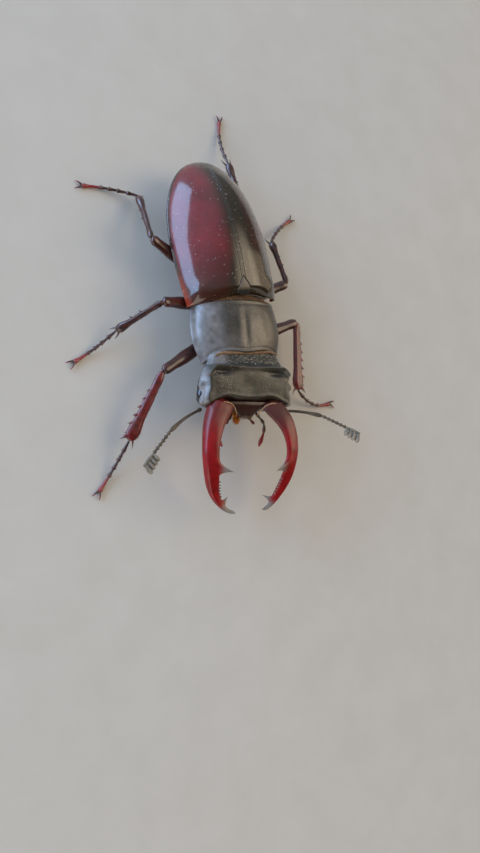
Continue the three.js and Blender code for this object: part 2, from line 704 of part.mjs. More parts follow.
// Works out where a leg's joints are, and what its coxa and femur cut away from the body.
function planLeg(pair, side, word) {
  const measures = LEG_PAIRS[pair];
  const name = `${pair}_${word}`;
  const base = measures.frame === "thorax" ? thorax : abdomenFrame;
  const [x, y, z] = measures.hip;
  const hip = base.localToWorld(new THREE.Vector3(side * x, y, z));
  const inner = base.localToWorld(new THREE.Vector3(side * (x - 3.2), y + 0.3, z));
  const coxaPath = (t) => new THREE.Vector3().lerpVectors(inner, hip, t);
  const femurFrame = limbFrame(hip, STANCE[name].femur);
  const knee = hip.clone().addScaledVector(direction(STANCE[name].femur), measures.femur);
  const femurCutter = sweep(straight(measures.femur), grown(FEMUR, GAP), 8);
  cutters[`${name}_coxa`] = sweep(coxaPath, grown(COXA, GAP), 8);
  cutters[`${name}_femur`] = toBeetle(femurCutter, femurFrame);
  return { name, measures, pair, coxaPath, femurFrame, knee };
}

function buildLeg({ name, measures, pair, coxaPath, femurFrame, knee }) {
  const { femur, tibia, tarsus } = STANCE[name];
  place(`${name}_coxa`, sweep(coxaPath, COXA, 8), beetle, MATERIALS.leg);
  const thigh = sweep(straight(measures.femur), FEMUR, 8);
  place(`${name}_femur`, thigh, femurFrame, MATERIALS.leg, [`${name}_coxa`]);

  const isFore = pair === "foreleg";
  const turn = THREE.MathUtils.euclideanModulo(tibia[0] - femur[0] + 180, 360) - 180;
  const outer = turn < 0 ? 1 : -1;
  const tibiaFrame = limbFrame(knee, tibia);
  const shin = tibiaSolid(measures.tibia, isFore, outer, 0);
  place(`${name}_tibia`, shin, tibiaFrame, MATERIALS.leg, [`${name}_femur`]);
  cutters[`${name}_tibia`] = toBeetle(tibiaSolid(measures.tibia, isFore, outer, GAP), tibiaFrame);

  const ankle = knee.clone().addScaledVector(direction(tibia), measures.tibia);
  const drop = ankle.z - FOOT.axisZ;
  const reach = Math.sqrt(measures.tarsus ** 2 - drop ** 2);
  const tarsusFrame = limbFrame(ankle, [tarsus[0], 0]);
  const foot = tarsusSolid(reach, drop, tarsus[1]);
  place(`${name}_tarsus`, foot, tarsusFrame, MATERIALS.tarsus, [`${name}_tibia`]);
}

// ---------------------------------------------------------------- antennae

const SCAPE = [
  [0, 0.3],
  [0.08, 0.42],
  [0.2, 0.28],
  [0.6, 0.32],
  [0.92, 0.44],
  [0.98, 0.3],
];

// A plate of the club: a rounded leaf that stands out from the stem to one side.
function lamella(along, reach) {
  const half = CLUB.thickness / 2;
  const path = (t) => new THREE.Vector3(along + 0.25 * t, t * reach, 0);
  return sweep(path, [[0, 0.8 * half, 0.4], [0.75, half, 0.7], [1, 0.6 * half, 0.35]], 6);
}

function buildAntenna(side, word) {
  const { scape, flagellum, lamellae } = ANTENNAE[word];
  const root = headFrame.localToWorld(new THREE.Vector3(...headPoint(side * 9.0, 9.9, 7.0)));
  const scapeFrame = limbFrame(root, scape);
  const bow = curve([[0, 0, 0], [SCAPE_LENGTH * 0.5, side * 0.4, 0], [SCAPE_LENGTH, 0, 0]]);
  const stalk = (grow) => sweep(bow, SCAPE.map(([t, radius]) => [t, radius + grow, radius + grow]), 7);
  cutters[`scape_${word}`] = toBeetle(stalk(GAP), scapeFrame);
  place(`scape_${word}`, stalk(0), scapeFrame, MATERIALS.antenna, ["head", "mandibles"]);

  const elbow = root.clone().addScaledVector(direction(scape), SCAPE_LENGTH);
  const funicleFrame = limbFrame(elbow, flagellum);
  const beads = [];
  for (let k = 0; k < FUNICLE.joints; k += 1) {
    beads.push([(k + 0.1) / FUNICLE.joints, 0.26, 0.26], [(k + 0.7) / FUNICLE.joints, 0.36, 0.35]);
  }
  beads.push([0.97, 0.27, 0.27]);
  const funicle = sweep(straight(FUNICLE.length), beads, 6);
  place(`funicle_${word}`, funicle, funicleFrame, MATERIALS.antenna, [`scape_${word}`]);

  const clubStart = elbow.clone().addScaledVector(direction(flagellum), FUNICLE.length + GAP / 2);
  const clubFrame = limbFrame(clubStart, flagellum);
  let club = sweep(straight(CLUB.length), [[0, 0.28, 0.28], [0.5, 0.38, 0.36], [1, 0.3, 0.3]], 6);
  for (let k = 0; k < CLUB.lamellae; k += 1) {
    const along = 0.35 + (k * (CLUB.length - 0.75)) / (CLUB.lamellae - 1);
    club = club.add(lamella(along, lamellae * CLUB.reach * (0.85 + 0.05 * k)));
  }
  place(`club_${word}`, club, clubFrame, MATERIALS.club);
}

// ---------------------------------------------------------------- assembly

const legs = [];
for (const [side, word] of [[-1, "right"], [1, "left"]]) {
  legs.push(...Object.keys(LEG_PAIRS).map((pair) => planLeg(pair, side, word)));
}
cutters.mandibles = toBeetle(mandibleSolid(-1, GAP).add(mandibleSolid(1, GAP)), headFrame);
buildProthorax();
buildBelly();
buildElytra();
buildHead();
buildMouth();
legs.forEach(buildLeg);
buildAntenna(-1, "right");
buildAntenna(1, "left");

const stag_beetle = new THREE.Group();
stag_beetle.add(beetle);
const box = new THREE.Box3().setFromObject(beetle, true);
const middle = box.getCenter(new THREE.Vector3());
beetle.position.set(-middle.x, -middle.y, -box.min.z);

export default stag_beetle;
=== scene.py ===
# %% [markdown]
# # A stag beetle, plate by plate
# The beetle is a male stag beetle at life size, standing on a pale floor. Its solids are already packed
# as a frame. This lesson dresses each of them in a finely modelled shell plate, and then adds the hairs
# that fringe the plates. Everything is worked out with numpy in millimetres and put into meshes in metres.

import bpy
import numpy as np
from mathutils import Matrix


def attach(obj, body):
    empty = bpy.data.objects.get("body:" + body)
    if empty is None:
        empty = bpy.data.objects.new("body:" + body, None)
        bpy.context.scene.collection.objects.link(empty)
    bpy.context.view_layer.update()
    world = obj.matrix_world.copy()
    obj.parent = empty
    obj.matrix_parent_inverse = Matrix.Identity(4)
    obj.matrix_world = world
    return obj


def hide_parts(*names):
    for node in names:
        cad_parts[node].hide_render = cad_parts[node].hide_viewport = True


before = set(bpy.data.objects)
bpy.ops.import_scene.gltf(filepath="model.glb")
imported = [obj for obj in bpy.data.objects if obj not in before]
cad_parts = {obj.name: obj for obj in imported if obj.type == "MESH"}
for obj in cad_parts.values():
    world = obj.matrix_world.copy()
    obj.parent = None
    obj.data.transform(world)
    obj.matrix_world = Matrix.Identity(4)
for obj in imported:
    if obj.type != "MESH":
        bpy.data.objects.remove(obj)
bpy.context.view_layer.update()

print("nodes in the frame:", len(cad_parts))

# %% [markdown]
# ## Camera
# The beetle is seen from high over its right side, so its back fills the tall picture and its jaws point
# down. A camera could be aimed with a constraint. Its three axes are written out here instead, as a
# rotation matrix, because they then hold its exact roll too.

# %% Camera
MM = 0.001
SHIFT = np.array([2.5494, -1.7271, 0.0])  # mm, from the middle of the pronotum's hind margin to the origin
CAMERA_AT = (np.array([-82.717, -40.680, 142.197]) + SHIFT) * MM
CAMERA_AXES = np.array([
    [0.85633, -0.12909, 0.50003],    # right
    [0.05896, 0.98636, 0.15367],     # up
    [-0.51305, -0.10211, 0.85226],   # back
])
SENSOR = 36.0
FOCAL_PIXELS, LONG_SIDE_PIXELS = 796.49, 853

camera_data = bpy.data.cameras.new("camera")
camera_data.sensor_width = SENSOR
camera_data.lens = SENSOR * FOCAL_PIXELS / LONG_SIDE_PIXELS
camera_data.clip_start, camera_data.clip_end = 0.001, 20.0
camera = bpy.data.objects.new("camera", camera_data)
bpy.context.collection.objects.link(camera)
pose = np.eye(4)
pose[:3, :3] = CAMERA_AXES.T
pose[:3, 3] = CAMERA_AT
camera.matrix_world = Matrix(pose.tolist())
bpy.context.scene.camera = camera
print("camera lens, mm:", round(camera_data.lens, 2))

# %% [markdown]
# ## Shapes from numpy
# Every plate and limb segment is a stack of rings: a closed outline that changes along a line. Stacking
# rings of equal length makes a grid of quads, and a fan of triangles closes each end. Blender's own
# primitives could be sculpted instead, but a formula keeps each size exact and can be read again.

# %% Ring stacks
def unit(vectors):
    """Each vector divided by its own length."""
    return vectors / (np.linalg.norm(vectors, axis=-1, keepdims=True) + 1e-12)


def closed_stack(rings, **attributes):
    """A closed shape from rings, an array of rings x sides x 3. Quads join ring to ring, a fan closes each
    end at the mean of its ring, and the faces are turned round if the signed volume is negative. The
    attributes are numbers at the grid points that a finish reads later."""
    rows, sides = rings.shape[:2]
    points = np.concatenate([rings.reshape(-1, 3), rings[[0, -1]].mean(1)])
    here = np.arange(rows * sides).reshape(rows, sides)
    right = np.roll(here, -1, axis=1)
    quads = np.stack([here[:-1], right[:-1], right[1:], here[1:]], -1).reshape(-1, 4)
    start = np.stack([np.full(sides, rows * sides), right[0], here[0]], -1)
    end = np.stack([np.full(sides, rows * sides + 1), here[-1], right[-1]], -1)
    fans = np.concatenate([start, end])
    halves = np.concatenate([quads[:, [0, 1, 2]], quads[:, [0, 2, 3]], fans])
    a, b, c = (points[halves[:, k]] for k in range(3))
    if np.einsum("ij,ij->", a, np.cross(b, c)) < 0:
        quads, fans = quads[:, ::-1], fans[:, ::-1]
    values = {}
    for name, value in attributes.items():
        value = np.broadcast_to(value, (rows, sides))
        values[name] = np.concatenate([value.ravel(), value[0, :1], value[-1, :1]])
    return {"points": points, "faces": [quads, fans], "values": values}


def ring_normals(rings):
    """The outward direction at each grid point: the step along a ring crossed with the step between rings,
    with the sign that points away from the middle of the ring."""
    along = np.gradient(rings, axis=0)
    around = np.roll(rings, -1, axis=1) - np.roll(rings, 1, axis=1)
    normals = unit(np.cross(around, along))
    outward = rings - rings.mean(1, keepdims=True)
    return normals * np.sign((normals * outward).sum())


def sweep(path, half_width, half_height, sides=24, up=(0.0, 0.0, 1.0)):
    """An oval carried along a path: centre + half_width * cos * side + half_height * sin * top. The side is
    tangent x up and the top is side x tangent."""
    tangent = unit(np.gradient(path, axis=0))
    side = unit(np.cross(tangent, np.asarray(up, float)))
    top = np.cross(side, tangent)
    angle = (np.arange(sides) + 0.5) / sides * 2 * np.pi
    width = np.broadcast_to(half_width, len(path))[:, None] * np.cos(angle)
    height = np.broadcast_to(half_height, len(path))[:, None] * np.sin(angle)
    return path[:, None] + width[..., None] * side[:, None] + height[..., None] * top[:, None]


def power(value, exponent):
    """The value's size to a power, with its sign kept."""
    return np.sign(value) * np.abs(value) ** exponent


print("ring helpers ready")

# %% [markdown]
# ## Smooth lines through a few sizes
# An entomologist gives a jaw or a leg as a handful of widths along its length. A natural cubic spline
# passes smoothly through such rows, as a bent lath does, and suits glossy shapes, where a kink would show
# in the reflection. Beaded shapes, such as feet, take a monotone curve that never swings past its rows.

# %% Splines
def spline(rows, at, knots=None):
    """A natural cubic spline through rows at the knots 0, 1, 2... The second slopes solve the usual
    three-term equations, with none at either end, and each span is the cubic that they give."""
    rows = np.asarray(rows, float).reshape(len(rows), -1)
    knots = np.arange(len(rows), dtype=float) if knots is None else np.asarray(knots, float)
    gap = np.diff(knots)
    system, slopes = np.eye(len(rows)), np.zeros_like(rows)
    inner = np.arange(1, len(rows) - 1)
    system[inner, inner - 1], system[inner, inner + 1] = gap[:-1], gap[1:]
    system[inner, inner] = 2 * (gap[:-1] + gap[1:])
    rise = np.diff(rows, axis=0) / gap[:, None]
    slopes[1:-1] = 6 * np.diff(rise, axis=0)
    bend = np.linalg.solve(system, slopes)
    at = np.asarray(at, float)
    k = np.clip(np.searchsorted(knots, at) - 1, 0, len(gap) - 1)
    h = gap[k][:, None]
    a, b = (knots[k + 1] - at)[:, None] / h, (at - knots[k])[:, None] / h
    cubic = ((a**3 - a) * bend[k] + (b**3 - b) * bend[k + 1]) * h**2 / 6
    return a * rows[k] + b * rows[k + 1] + cubic


def monotone(table, at):
    """A curve through [place, value] pairs that doesn't overshoot: between two pairs the share of the way
    s is eased to 3 s squared - 2 s cubed."""
    table = np.asarray(table, float)
    k = np.clip(np.searchsorted(table[:, 0], at) - 1, 0, len(table) - 2)
    s = np.clip((at - table[k, 0]) / (table[k + 1, 0] - table[k, 0]), 0, 1)
    return table[k, 1] + (table[k + 1, 1] - table[k, 1]) * s * s * (3 - 2 * s)


def ends_dense(count, ends=0.75):
    """Places from 0 to 1 that lie closer together at both ends: a mix of even steps and half a cosine."""
    even = np.linspace(0, 1, count)
    return (1 - ends) * even + ends * (0.5 - 0.5 * np.cos(np.pi * even))


def bell(distance, width):
    """A smooth bump: e to the power of minus the square of distance / width."""
    return np.exp(-((distance / width) ** 2))


def step(low, high, value):
    """0 below low, 1 above high, and eased between."""
    s = np.clip((value - low) / (high - low), 0, 1)
    return s * s * (3 - 2 * s)


LATTICE = np.random.default_rng(7).random(4096)
HASH_PRIMES = np.array([73856093, 19349663, 83492791])    # they scatter neighbouring cubes over the lattice
HASH_SEED = 9176


def grain(points, size, seed=0):
    """Value noise from -1 to 1: random numbers at the corners of cubes of the given size in mm, blended
    between the eight corners of the cube that a point is in."""
    cell = points / size
    base = np.floor(cell).astype(np.int64)
    share = cell - base
    share = share * share * (3 - 2 * share)
    total = np.zeros(points.shape[:-1])
    for corner in np.ndindex(2, 2, 2):
        key = (base + corner) @ HASH_PRIMES + seed * HASH_SEED
        weight = np.where(np.array(corner) == 1, share, 1 - share).prod(-1)
        total += weight * LATTICE[key % len(LATTICE)]
    return 2 * total - 1


print("spline check, should be 1.0:", spline([[0.0], [1.0], [0.0]], [1.0])[0, 0])

# %% [markdown]
# ## The three parts of the body
# The abdomen and the head turn a little on the thorax, as in a walking beetle. Each has a frame of its
# own, in which the animal is symmetric. A frame is a turn about a pivot: the point minus the pivot,
# turned, plus the pivot.

# %% Body frames
MARGIN_Z = 7.8        # mm, height of the elytra's side margins over the floor
NECK_Y = -11.4        # mm, where the head's own distances ahead are counted from
PIVOT_Z = MARGIN_Z + 1.4


def turned_frame(pivot, yaw, pitch):
    """A turn about Z by the yaw, then about X by the pitch, in degrees, about a pivot."""
    (cy, sy), (cp, sp) = ((np.cos(a), np.sin(a)) for a in np.radians([yaw, pitch]))
    turn = np.array([[1, 0, 0], [0, cp, -sp], [0, sp, cp]]) @ np.array([[cy, -sy, 0], [sy, cy, 0], [0, 0, 1]])
    pivot = np.array(pivot)
    return lambda points: (np.asarray(points) - pivot) @ turn.T + pivot


THORAX = turned_frame([0, 0, 0], 0, 0)
ABDOMEN = turned_frame([0, 0, PIVOT_Z], 4.85, -1.8)
HEAD = turned_frame([0, NECK_Y, PIVOT_Z], -3.8, 1.0)
print("neck pivot in the beetle's frame:", HEAD([0, NECK_Y, PIVOT_Z]))

# %% [markdown]
# ## Finishes
# A beetle's shell is chitin: a hard, clear-topped plate whose colour lies a little below the surface. That
# is a dark base under a thin glossy coat, so each finish is a principled shader with a coat. The patterns
# come from noise and cells on the object's own coordinates, with sizes taken from the real animal.

# %% Colour and node helpers
def linear(hex_colour):
    """An sRGB hex colour as linear light: each channel over 0.04045 is ((c + 0.055) / 1.055) ^ 2.4."""
    channels = np.array([int(hex_colour[k:k + 2], 16) for k in (1, 3, 5)]) / 255
    light = np.where(channels > 0.04045, ((channels + 0.055) / 1.055) ** 2.4, channels / 12.92)
    return (*light.tolist(), 1.0)


def add_node(tree, kind, links=None, values=None, **settings):
    """Adds a node, sets its own settings, links its inputs from other sockets and sets the other inputs."""
    node = tree.nodes.new(kind)
    for key, value in settings.items():
        setattr(node, key, value)
    for key, value in (values or {}).items():
        node.inputs[key].default_value = value
    for key, socket in (links or {}).items():
        tree.links.new(socket, node.inputs[key])
    return node


def per_mm(size):
    """The texture scale that makes a pattern's cells this many millimetres wide."""
    return 1.0 / (size * MM)


def new_finish(name, roughness, **sockets):
    """A material with an empty principled shader, and the object coordinates that its patterns read."""
    material = bpy.data.materials.new(name)
    material.use_nodes = True
    tree = material.node_tree
    shader = tree.nodes["Principled BSDF"]
    shader.inputs["Roughness"].default_value = roughness
    for key, value in sockets.items():
        shader.inputs[key.replace("_", " ")].default_value = value
    place = tree.nodes.new("ShaderNodeTexCoord").outputs["Object"]
    return material, tree, shader, place


def clouds(tree, place, size, low=0.0, high=1.0, to_low=0.0, to_high=1.0, detail=3.0):
    """Cloudy noise with features about this many mm wide, stretched so that low to high becomes to_low to
    to_high."""
    values = {"Scale": per_mm(size), "Detail": detail, "Roughness": 0.55}
    fac = add_node(tree, "ShaderNodeTexNoise", {"Vector": place}, values).outputs["Fac"]
    values = {"From Min": low, "From Max": high, "To Min": to_low, "To Max": to_high}
    return add_node(tree, "ShaderNodeMapRange", {"Value": fac}, values).outputs["Result"]


def pits(tree, place, size, low=0.0, high=0.35):
    """Round pits this many mm apart: the distance from scattered points, stretched from low to high."""
    values = {"Scale": per_mm(size), "Randomness": 1.0}
    far = add_node(tree, "ShaderNodeTexVoronoi", {"Vector": place}, values).outputs["Distance"]
    values = {"From Min": low, "From Max": high}
    return add_node(tree, "ShaderNodeMapRange", {"Value": far}, values).outputs["Result"]


def as_socket(tree, share):
    """The share itself if it is a socket, or the mesh attribute of that name."""
    if isinstance(share, str):
        share = add_node(tree, "ShaderNodeAttribute", attribute_name=share).outputs["Fac"]
    return share


def patches(tree, pattern, where):
    """A pattern that is kept only where another one, or the mesh attribute of that name, is high."""
    links = {0: pattern, 1: as_socket(tree, where)}
    return add_node(tree, "ShaderNodeMath", links, operation="MULTIPLY").outputs["Value"]


def dust(tree, place, size, radius, amount):
    """Pale specks: small discs round scattered points, kept only where a coarse noise is high."""
    return patches(tree, pits(tree, place, size, radius, 0.55 * radius),
                   clouds(tree, place, 3 * size, amount, amount + 0.06))


# The mix node has sockets of one name for numbers, vectors and colours, so the colours go by index.
MIX_SHARE, MIX_UNDER, MIX_OVER, MIX_RESULT = 0, 6, 7, 2


def painted(tree, shader, ground, *layers):
    """Lays colours over a ground colour, one after the other, and links the last to the shader. Each layer is
    a share, from a socket or from the mesh attribute of that name, and a hex colour."""
    under = None
    for share, colour in layers:
        mix = add_node(tree, "ShaderNodeMix", {MIX_SHARE: as_socket(tree, share)},
                       {MIX_UNDER: linear(ground), MIX_OVER: linear(colour)}, data_type="RGBA")
        if under is not None:
            tree.links.new(under, mix.inputs[MIX_UNDER])
        under = mix.outputs[MIX_RESULT]
    tree.links.new(under, shader.inputs["Base Color"])


def bumped(tree, shader, *layers):
    """Chains bump nodes into the shader's normal. Each layer is a height from 0 to 1 and its depth in mm."""
    normal = None
    for height, depth in layers:
        links = {"Height": height, "Normal": normal} if normal else {"Height": height}
        normal = add_node(tree, "ShaderNodeBump", links, {"Distance": depth * MM}).outputs["Normal"]
    tree.links.new(normal, shader.inputs["Normal"])
    tree.links.new(normal, shader.inputs["Coat Normal"])


print("material helpers ready, test colour:", [round(c, 3) for c in linear("#804020")])

# %% [markdown]
# ## Wing-case finish
# The elytra are polished chestnut chitin. Fine punctures a quarter of a millimetre apart roughen the
# gloss, dust rests on the back in pale specks, and the shoulder rim has a painted orange-red glow. The
# rim and the darker brown, partly painted shade and reflection, are numbers that the mesh carries.

# %% Wing-case material
def make_elytron_finish():
    """Chestnut clouds, then the brown and painted shade, the rim's painted glow, the grit and the dust, each
    over the last.
    """
    material, tree, shader, place = new_finish(
        "polished_chestnut_chitin", 0.24, Coat_Weight=1.0, Coat_Roughness=0.07, Coat_IOR=1.6, IOR=1.35)
    painted(tree, shader, "#8a262c",
            (clouds(tree, place, 6.0, 0.35, 0.65), "#6e2226"),       # chestnut that varies over the case
            ("seam", "#352a1b"),                                     # browner beside the suture, painted shade at the front and margin, painted brown reflection on the left case
            ("rim", "#b0401e"),                                      # painted glow, as of light through the thin shell
            (patches(tree, clouds(tree, place, 0.3, 0.44, 0.56), "dusty"), "#a09370"),    # grit at the tail
            (dust(tree, place, 0.75, 0.13, 0.4), "#d8cfc4"))         # specks of dust
    tree.links.new(clouds(tree, place, 1.2, 0.3, 0.7, 0.18, 0.34), shader.inputs["Roughness"])
    bumped(tree, shader, (pits(tree, place, 0.27), 0.004), (clouds(tree, place, 0.12), 0.0015))
    return material


ELYTRON = make_elytron_finish()
print("finish:", ELYTRON.name)

# %% [markdown]
# ## Satin and granular shell
# The pronotum is satin, olive black, and finely punctured. The head is duller: its top is shagreened
# like fine sandpaper, and its nape is pitted, with pale dust in the pits. One function makes both, and the
# belly and the scutellum too, with the pit size and depth as its arguments.

# %% Thorax, head and underside materials
def make_satin_finish(name, light, dark, roughness, pit, depth, speck, coat, ior=1.6):
    """Cloudy shell with pits of the size and depth given in mm, and dust specks that many mm apart. The
    mesh says where there is painted sheen, painted shade, grit or red."""
    material, tree, shader, place = new_finish(
        name, roughness, Coat_Weight=coat, Coat_Roughness=0.22, IOR=ior)
    grit = patches(tree, clouds(tree, place, 0.27, 0.59, 0.68, detail=2.0), "pitted")
    painted(tree, shader, dark,
            (clouds(tree, place, 2.6, 0.35, 0.68), light),           # cloudy olive
            ("bloom", "#9a9594"),                                    # painted pale sheen on the cheeks and the right flank
            ("dark", "#171b1a"),                                     # painted shade: nape, crest hollows, the scutellum's base, the pronotum's dark patch and left flank
            (grit, "#b4ae9e"),                                       # pale dust in the pits
            ("red", "#3a1a15"),                                      # redder, thinner front edges
            (dust(tree, place, speck, 0.09, 0.5), "#cfc7b6"))        # loose specks
    gloss = clouds(tree, place, 0.8, 0.3, 0.7, roughness - 0.06, roughness + 0.1)
    tree.links.new(gloss, shader.inputs["Roughness"])
    bumped(tree, shader, (pits(tree, place, pit, 0.0, 0.45), depth),
           (clouds(tree, place, pit * 0.5), depth * 0.6))
    return material


THORAX_SHELL = make_satin_finish("satin_olive_black_chitin", "#524b41", "#322d26", 0.34, 0.2, 0.008, 0.8, 0.5,
                                 1.7)
HEAD_SHELL = make_satin_finish("shagreened_olive_chitin", "#494536", "#2d2b24", 0.42, 0.17, 0.014, 0.7, 0.5)
UNDERSIDE = make_satin_finish("satin_brown_belly_chitin", "#3a2418", "#1f130d", 0.36, 0.25, 0.02, 1.5, 0.3)
SCUTELLUM = make_satin_finish("dusty_scutellum_chitin", "#857868", "#6a5d50", 0.5, 0.25, 0.01, 0.5, 0.2)
print("finishes:", THORAX_SHELL.name, HEAD_SHELL.name, UNDERSIDE.name, SCUTELLUM.name)

# %% [markdown]
# ## Jaws, legs and feelers
# The mandibles are polished horn: crimson along the middle, and brown where they leave the head, partly
# a painted dull reflection. Their tips and teeth are painted grey, a reflection on dark horn. Legs are
# maroon, the fore shins and the ends of the feet are redder, and the shins' teeth are painted grey too.
# The antennae are dull brown and end in clubs of grey felt. The numbers "tip" and "root" on the mesh
# say how far along a piece a point is.

# %% Mandible, leg and antenna materials
def make_mandible_finish():
    """Crimson horn that goes brown by the mesh's number "root", partly a painted reflection, and grey by its
    number "tip", a painted reflection.
    """
    material, tree, shader, place = new_finish(
        "polished_crimson_horn", 0.36, Coat_Weight=0.45, Coat_Roughness=0.16, Coat_IOR=1.5, IOR=1.4)
    painted(tree, shader, "#a8161b",
            (clouds(tree, place, 1.8, 0.35, 0.65), "#880f15"),       # crimson horn
            ("root", "#54302a"),                                     # brown where it leaves the head, partly a painted dull reflection
            ("tip", "#8d8780"))                                      # painted reflection: grey points and teeth
    bumped(tree, shader, (pits(tree, place, 0.22, 0.0, 0.3), 0.005), (clouds(tree, place, 0.5), 0.01))
    return material


def make_limb_finish(name, light, dark, tip, roughness, coat, grain_mm=0.25, depth=0.012):
    """Streaky chitin of two colours, a third where the mesh's number "tip" is high, and fine pits."""
    material, tree, shader, place = new_finish(
        name, roughness, Coat_Weight=coat, Coat_Roughness=0.12, IOR=1.55)
    painted(tree, shader, dark,
            (clouds(tree, place, 1.0, 0.35, 0.65), light),           # streaky chitin
            ("tip", tip))                                            # ends: redder on feet and palps; pale grey on the shins' teeth and spurs, a painted reflection
    bumped(tree, shader, (pits(tree, place, grain_mm), depth), (clouds(tree, place, 0.15), depth * 0.5))
    return material


MANDIBLE = make_mandible_finish()
# The pale grey tips of LEG and SHIN are on the teeth and spurs of the shins: a painted reflection on dark horn.
LEG = make_limb_finish("glossy_brown_leg_chitin", "#5a2019", "#2e130f", "#8d8780", 0.3, 1.0)
SHIN = make_limb_finish("glossy_red_shin_chitin", "#861a20", "#581216", "#a39c96", 0.3, 1.0)
TARSUS = make_limb_finish("glossy_brown_chitin", "#4a1a1a", "#2f1210", "#a82028", 0.3, 1.0)
ANTENNA = make_limb_finish("satin_brown_chitin", "#6a5a44", "#463a2c", "#a82c28", 0.42, 0.3)
CLUB = make_limb_finish("grey_felt_on_chitin", "#968a76", "#766c5c", "#aca08c", 0.75, 0.0, 0.1, 0.02)
EYE = make_limb_finish("black_faceted_cornea", "#0f0c0c", "#060505", "#0f0c0c", 0.12, 1.0, 0.06, 0.01)
print("finishes:", MANDIBLE.name, LEG.name, SHIN.name, TARSUS.name, ANTENNA.name, CLUB.name, EYE.name)

# %% [markdown]
# ## Hair
# The fringes and brushes are bristles of golden chitin. Each bristle is a thin closed cone,
# so its finish only needs a colour that varies from one bristle to the next and a soft gloss.

# %% Hair materials
def make_hair_finish(name, light, dark, roughness):
    """Two colours of bristle, in clouds as small as a bristle is thick."""
    material, tree, shader, place = new_finish(name, roughness, Coat_Weight=0.2, IOR=1.55)
    painted(tree, shader, dark,
            (clouds(tree, place, 0.25, 0.3, 0.7), light))            # one bristle paler than the next
    bumped(tree, shader, (clouds(tree, place, 0.05), 0.002))
    return material


GOLD_HAIR = make_hair_finish("golden_bristles", "#ecc396", "#9c6430", 0.45)
BROWN_HAIR = make_hair_finish("brown_bristles", "#a07848", "#5f3d20", 0.5)
BRUSH_HAIR = make_hair_finish("orange_brush_bristles", "#f0a428", "#c4621a", 0.42)
print("finishes:", GOLD_HAIR.name, BROWN_HAIR.name, BRUSH_HAIR.name)

# %% [markdown]
# ## From shapes to pieces
# A piece is one or more closed shapes joined in one mesh. Its points go from the beetle's millimetres to
# metres, with the shift that puts the origin under the middle of the beetle. Each piece rides on the one
# body and stands for its node. Any numbers its finish reads become attributes.

# %% Make a piece
def build_mesh(name, shapes, frame_of, material, attributes=("tip",)):
    """One mesh from closed shapes: their points are put in the beetle's frame, shifted and scaled."""
    points, faces, values, start = [], [], {key: [] for key in attributes}, 0
    for shape in shapes:
        points.append(shape["points"])
        for block in shape["faces"]:
            faces += (block + start).tolist()
        for key in attributes:
            values[key].append(np.broadcast_to(shape["values"].get(key, 0.0), len(shape["points"])))
        start += len(shape["points"])
    placed = (frame_of(np.concatenate(points)) + SHIFT) * MM
    mesh = bpy.data.meshes.new(name)
    mesh.from_pydata(placed, [], faces)
    mesh.polygons.foreach_set("use_smooth", np.ones(len(mesh.polygons), bool))
    for key in attributes:
        layer = mesh.attributes.new(key, "FLOAT", "POINT")
        layer.data.foreach_set("value", np.concatenate(values[key]).astype(np.float32))
    mesh.materials.append(material)
    return mesh


def add_piece(name, mesh, nodes=()):
    """The mesh as an object at the origin that rides on the body and stands for its nodes."""
    piece = bpy.data.objects.new(name, mesh)
    bpy.context.collection.objects.link(piece)
    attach(piece, "root")
    if nodes:
        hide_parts(*nodes)
    mesh.calc_loop_triangles()
    print(f"{name}: {len(mesh.loop_triangles)} triangles")


def make_piece(name, shapes, frame_of, material, nodes=(), attributes=("tip",)):
    """A piece straight from its closed shapes."""
    add_piece(name, build_mesh(name, shapes, frame_of, material, attributes), nodes)


SIDES = ((-1, "right"), (1, "left"))

# %% [markdown]
# ## Elytra
# The two wing cases together are a dome: broad shoulders, an oval tail and a cross-section that is nearly
# half an ellipse. Each is a thin shell that ends below in a folded edge. A mirrored half dome with a
# Solidify modifier would do, but here the inner face is worked out too, so that the rims stay thin.

# %% Elytra dome
ELYTRA_START, ELYTRA_LENGTH = 0.45, 30.4    # mm
ELYTRA_HALF_WIDTH, ELYTRA_HEIGHT = 11.05, 6.7
WIDEST_AT, HIGHEST_AT = 0.42, 0.38           # shares of the length
SHIELD_FRONT, SHIELD_LENGTH, SHIELD_HALF = 1.55, 2.55, 1.45    # the scutellum
SHIELD_HIDDEN = 0.7                          # mm of it that run ahead under the fringe


def dome_half_width(t):
    """Half width at the share t of the length: a shoulder that rises as a sine, then an oval tail."""
    shoulder = 0.94 + 0.06 * np.sin(np.clip(t / WIDEST_AT, 0, 1) * np.pi / 2)
    tail = (1 - np.clip((t - WIDEST_AT) / (1 - WIDEST_AT), 0, 1) ** 1.92) ** (1 / 2.15)
    return ELYTRA_HALF_WIDTH * shoulder * tail


def dome_height(t):
    """Height over the margin: a sine up from the front with a round lip, and an oval down to the tail."""
    front = 0.84 + 0.16 * np.sin(np.clip(t / HIGHEST_AT, 0, 1) * np.pi / 2)
    tail = (1 - np.clip((t - HIGHEST_AT) / (1 - HIGHEST_AT), 0, 1) ** 2.2) ** (1 / 1.5)
    lip = np.sqrt(1 - (1 - np.clip(t / 0.07, 0, 1)) ** 2)
    return ELYTRA_HEIGHT * front * tail * (0.55 + 0.45 * lip)


def margin_height(t):
    """Height of the side margin over the floor, which falls a little towards the tail."""
    return MARGIN_Z + 0.3 - 0.4 * t


def rim_angle(t):
    """How far up its ellipse the cross-section starts: 12 degrees at the shoulders, 36 at the tail."""
    return np.radians(12 + 24 * t)


def arch_at(share, t):
    """How far up the cross-section is at a share out: an ellipse's arc from (1, 0) to (0, 1) that leaves
    out the steep foot, so that the flank meets the margin at a slope."""
    low, level = np.sin(rim_angle(t)), np.cos(rim_angle(t))
    return (np.sqrt(1 - (np.clip(share, 0, 1) * level) ** 2) - low) / (1 - low)


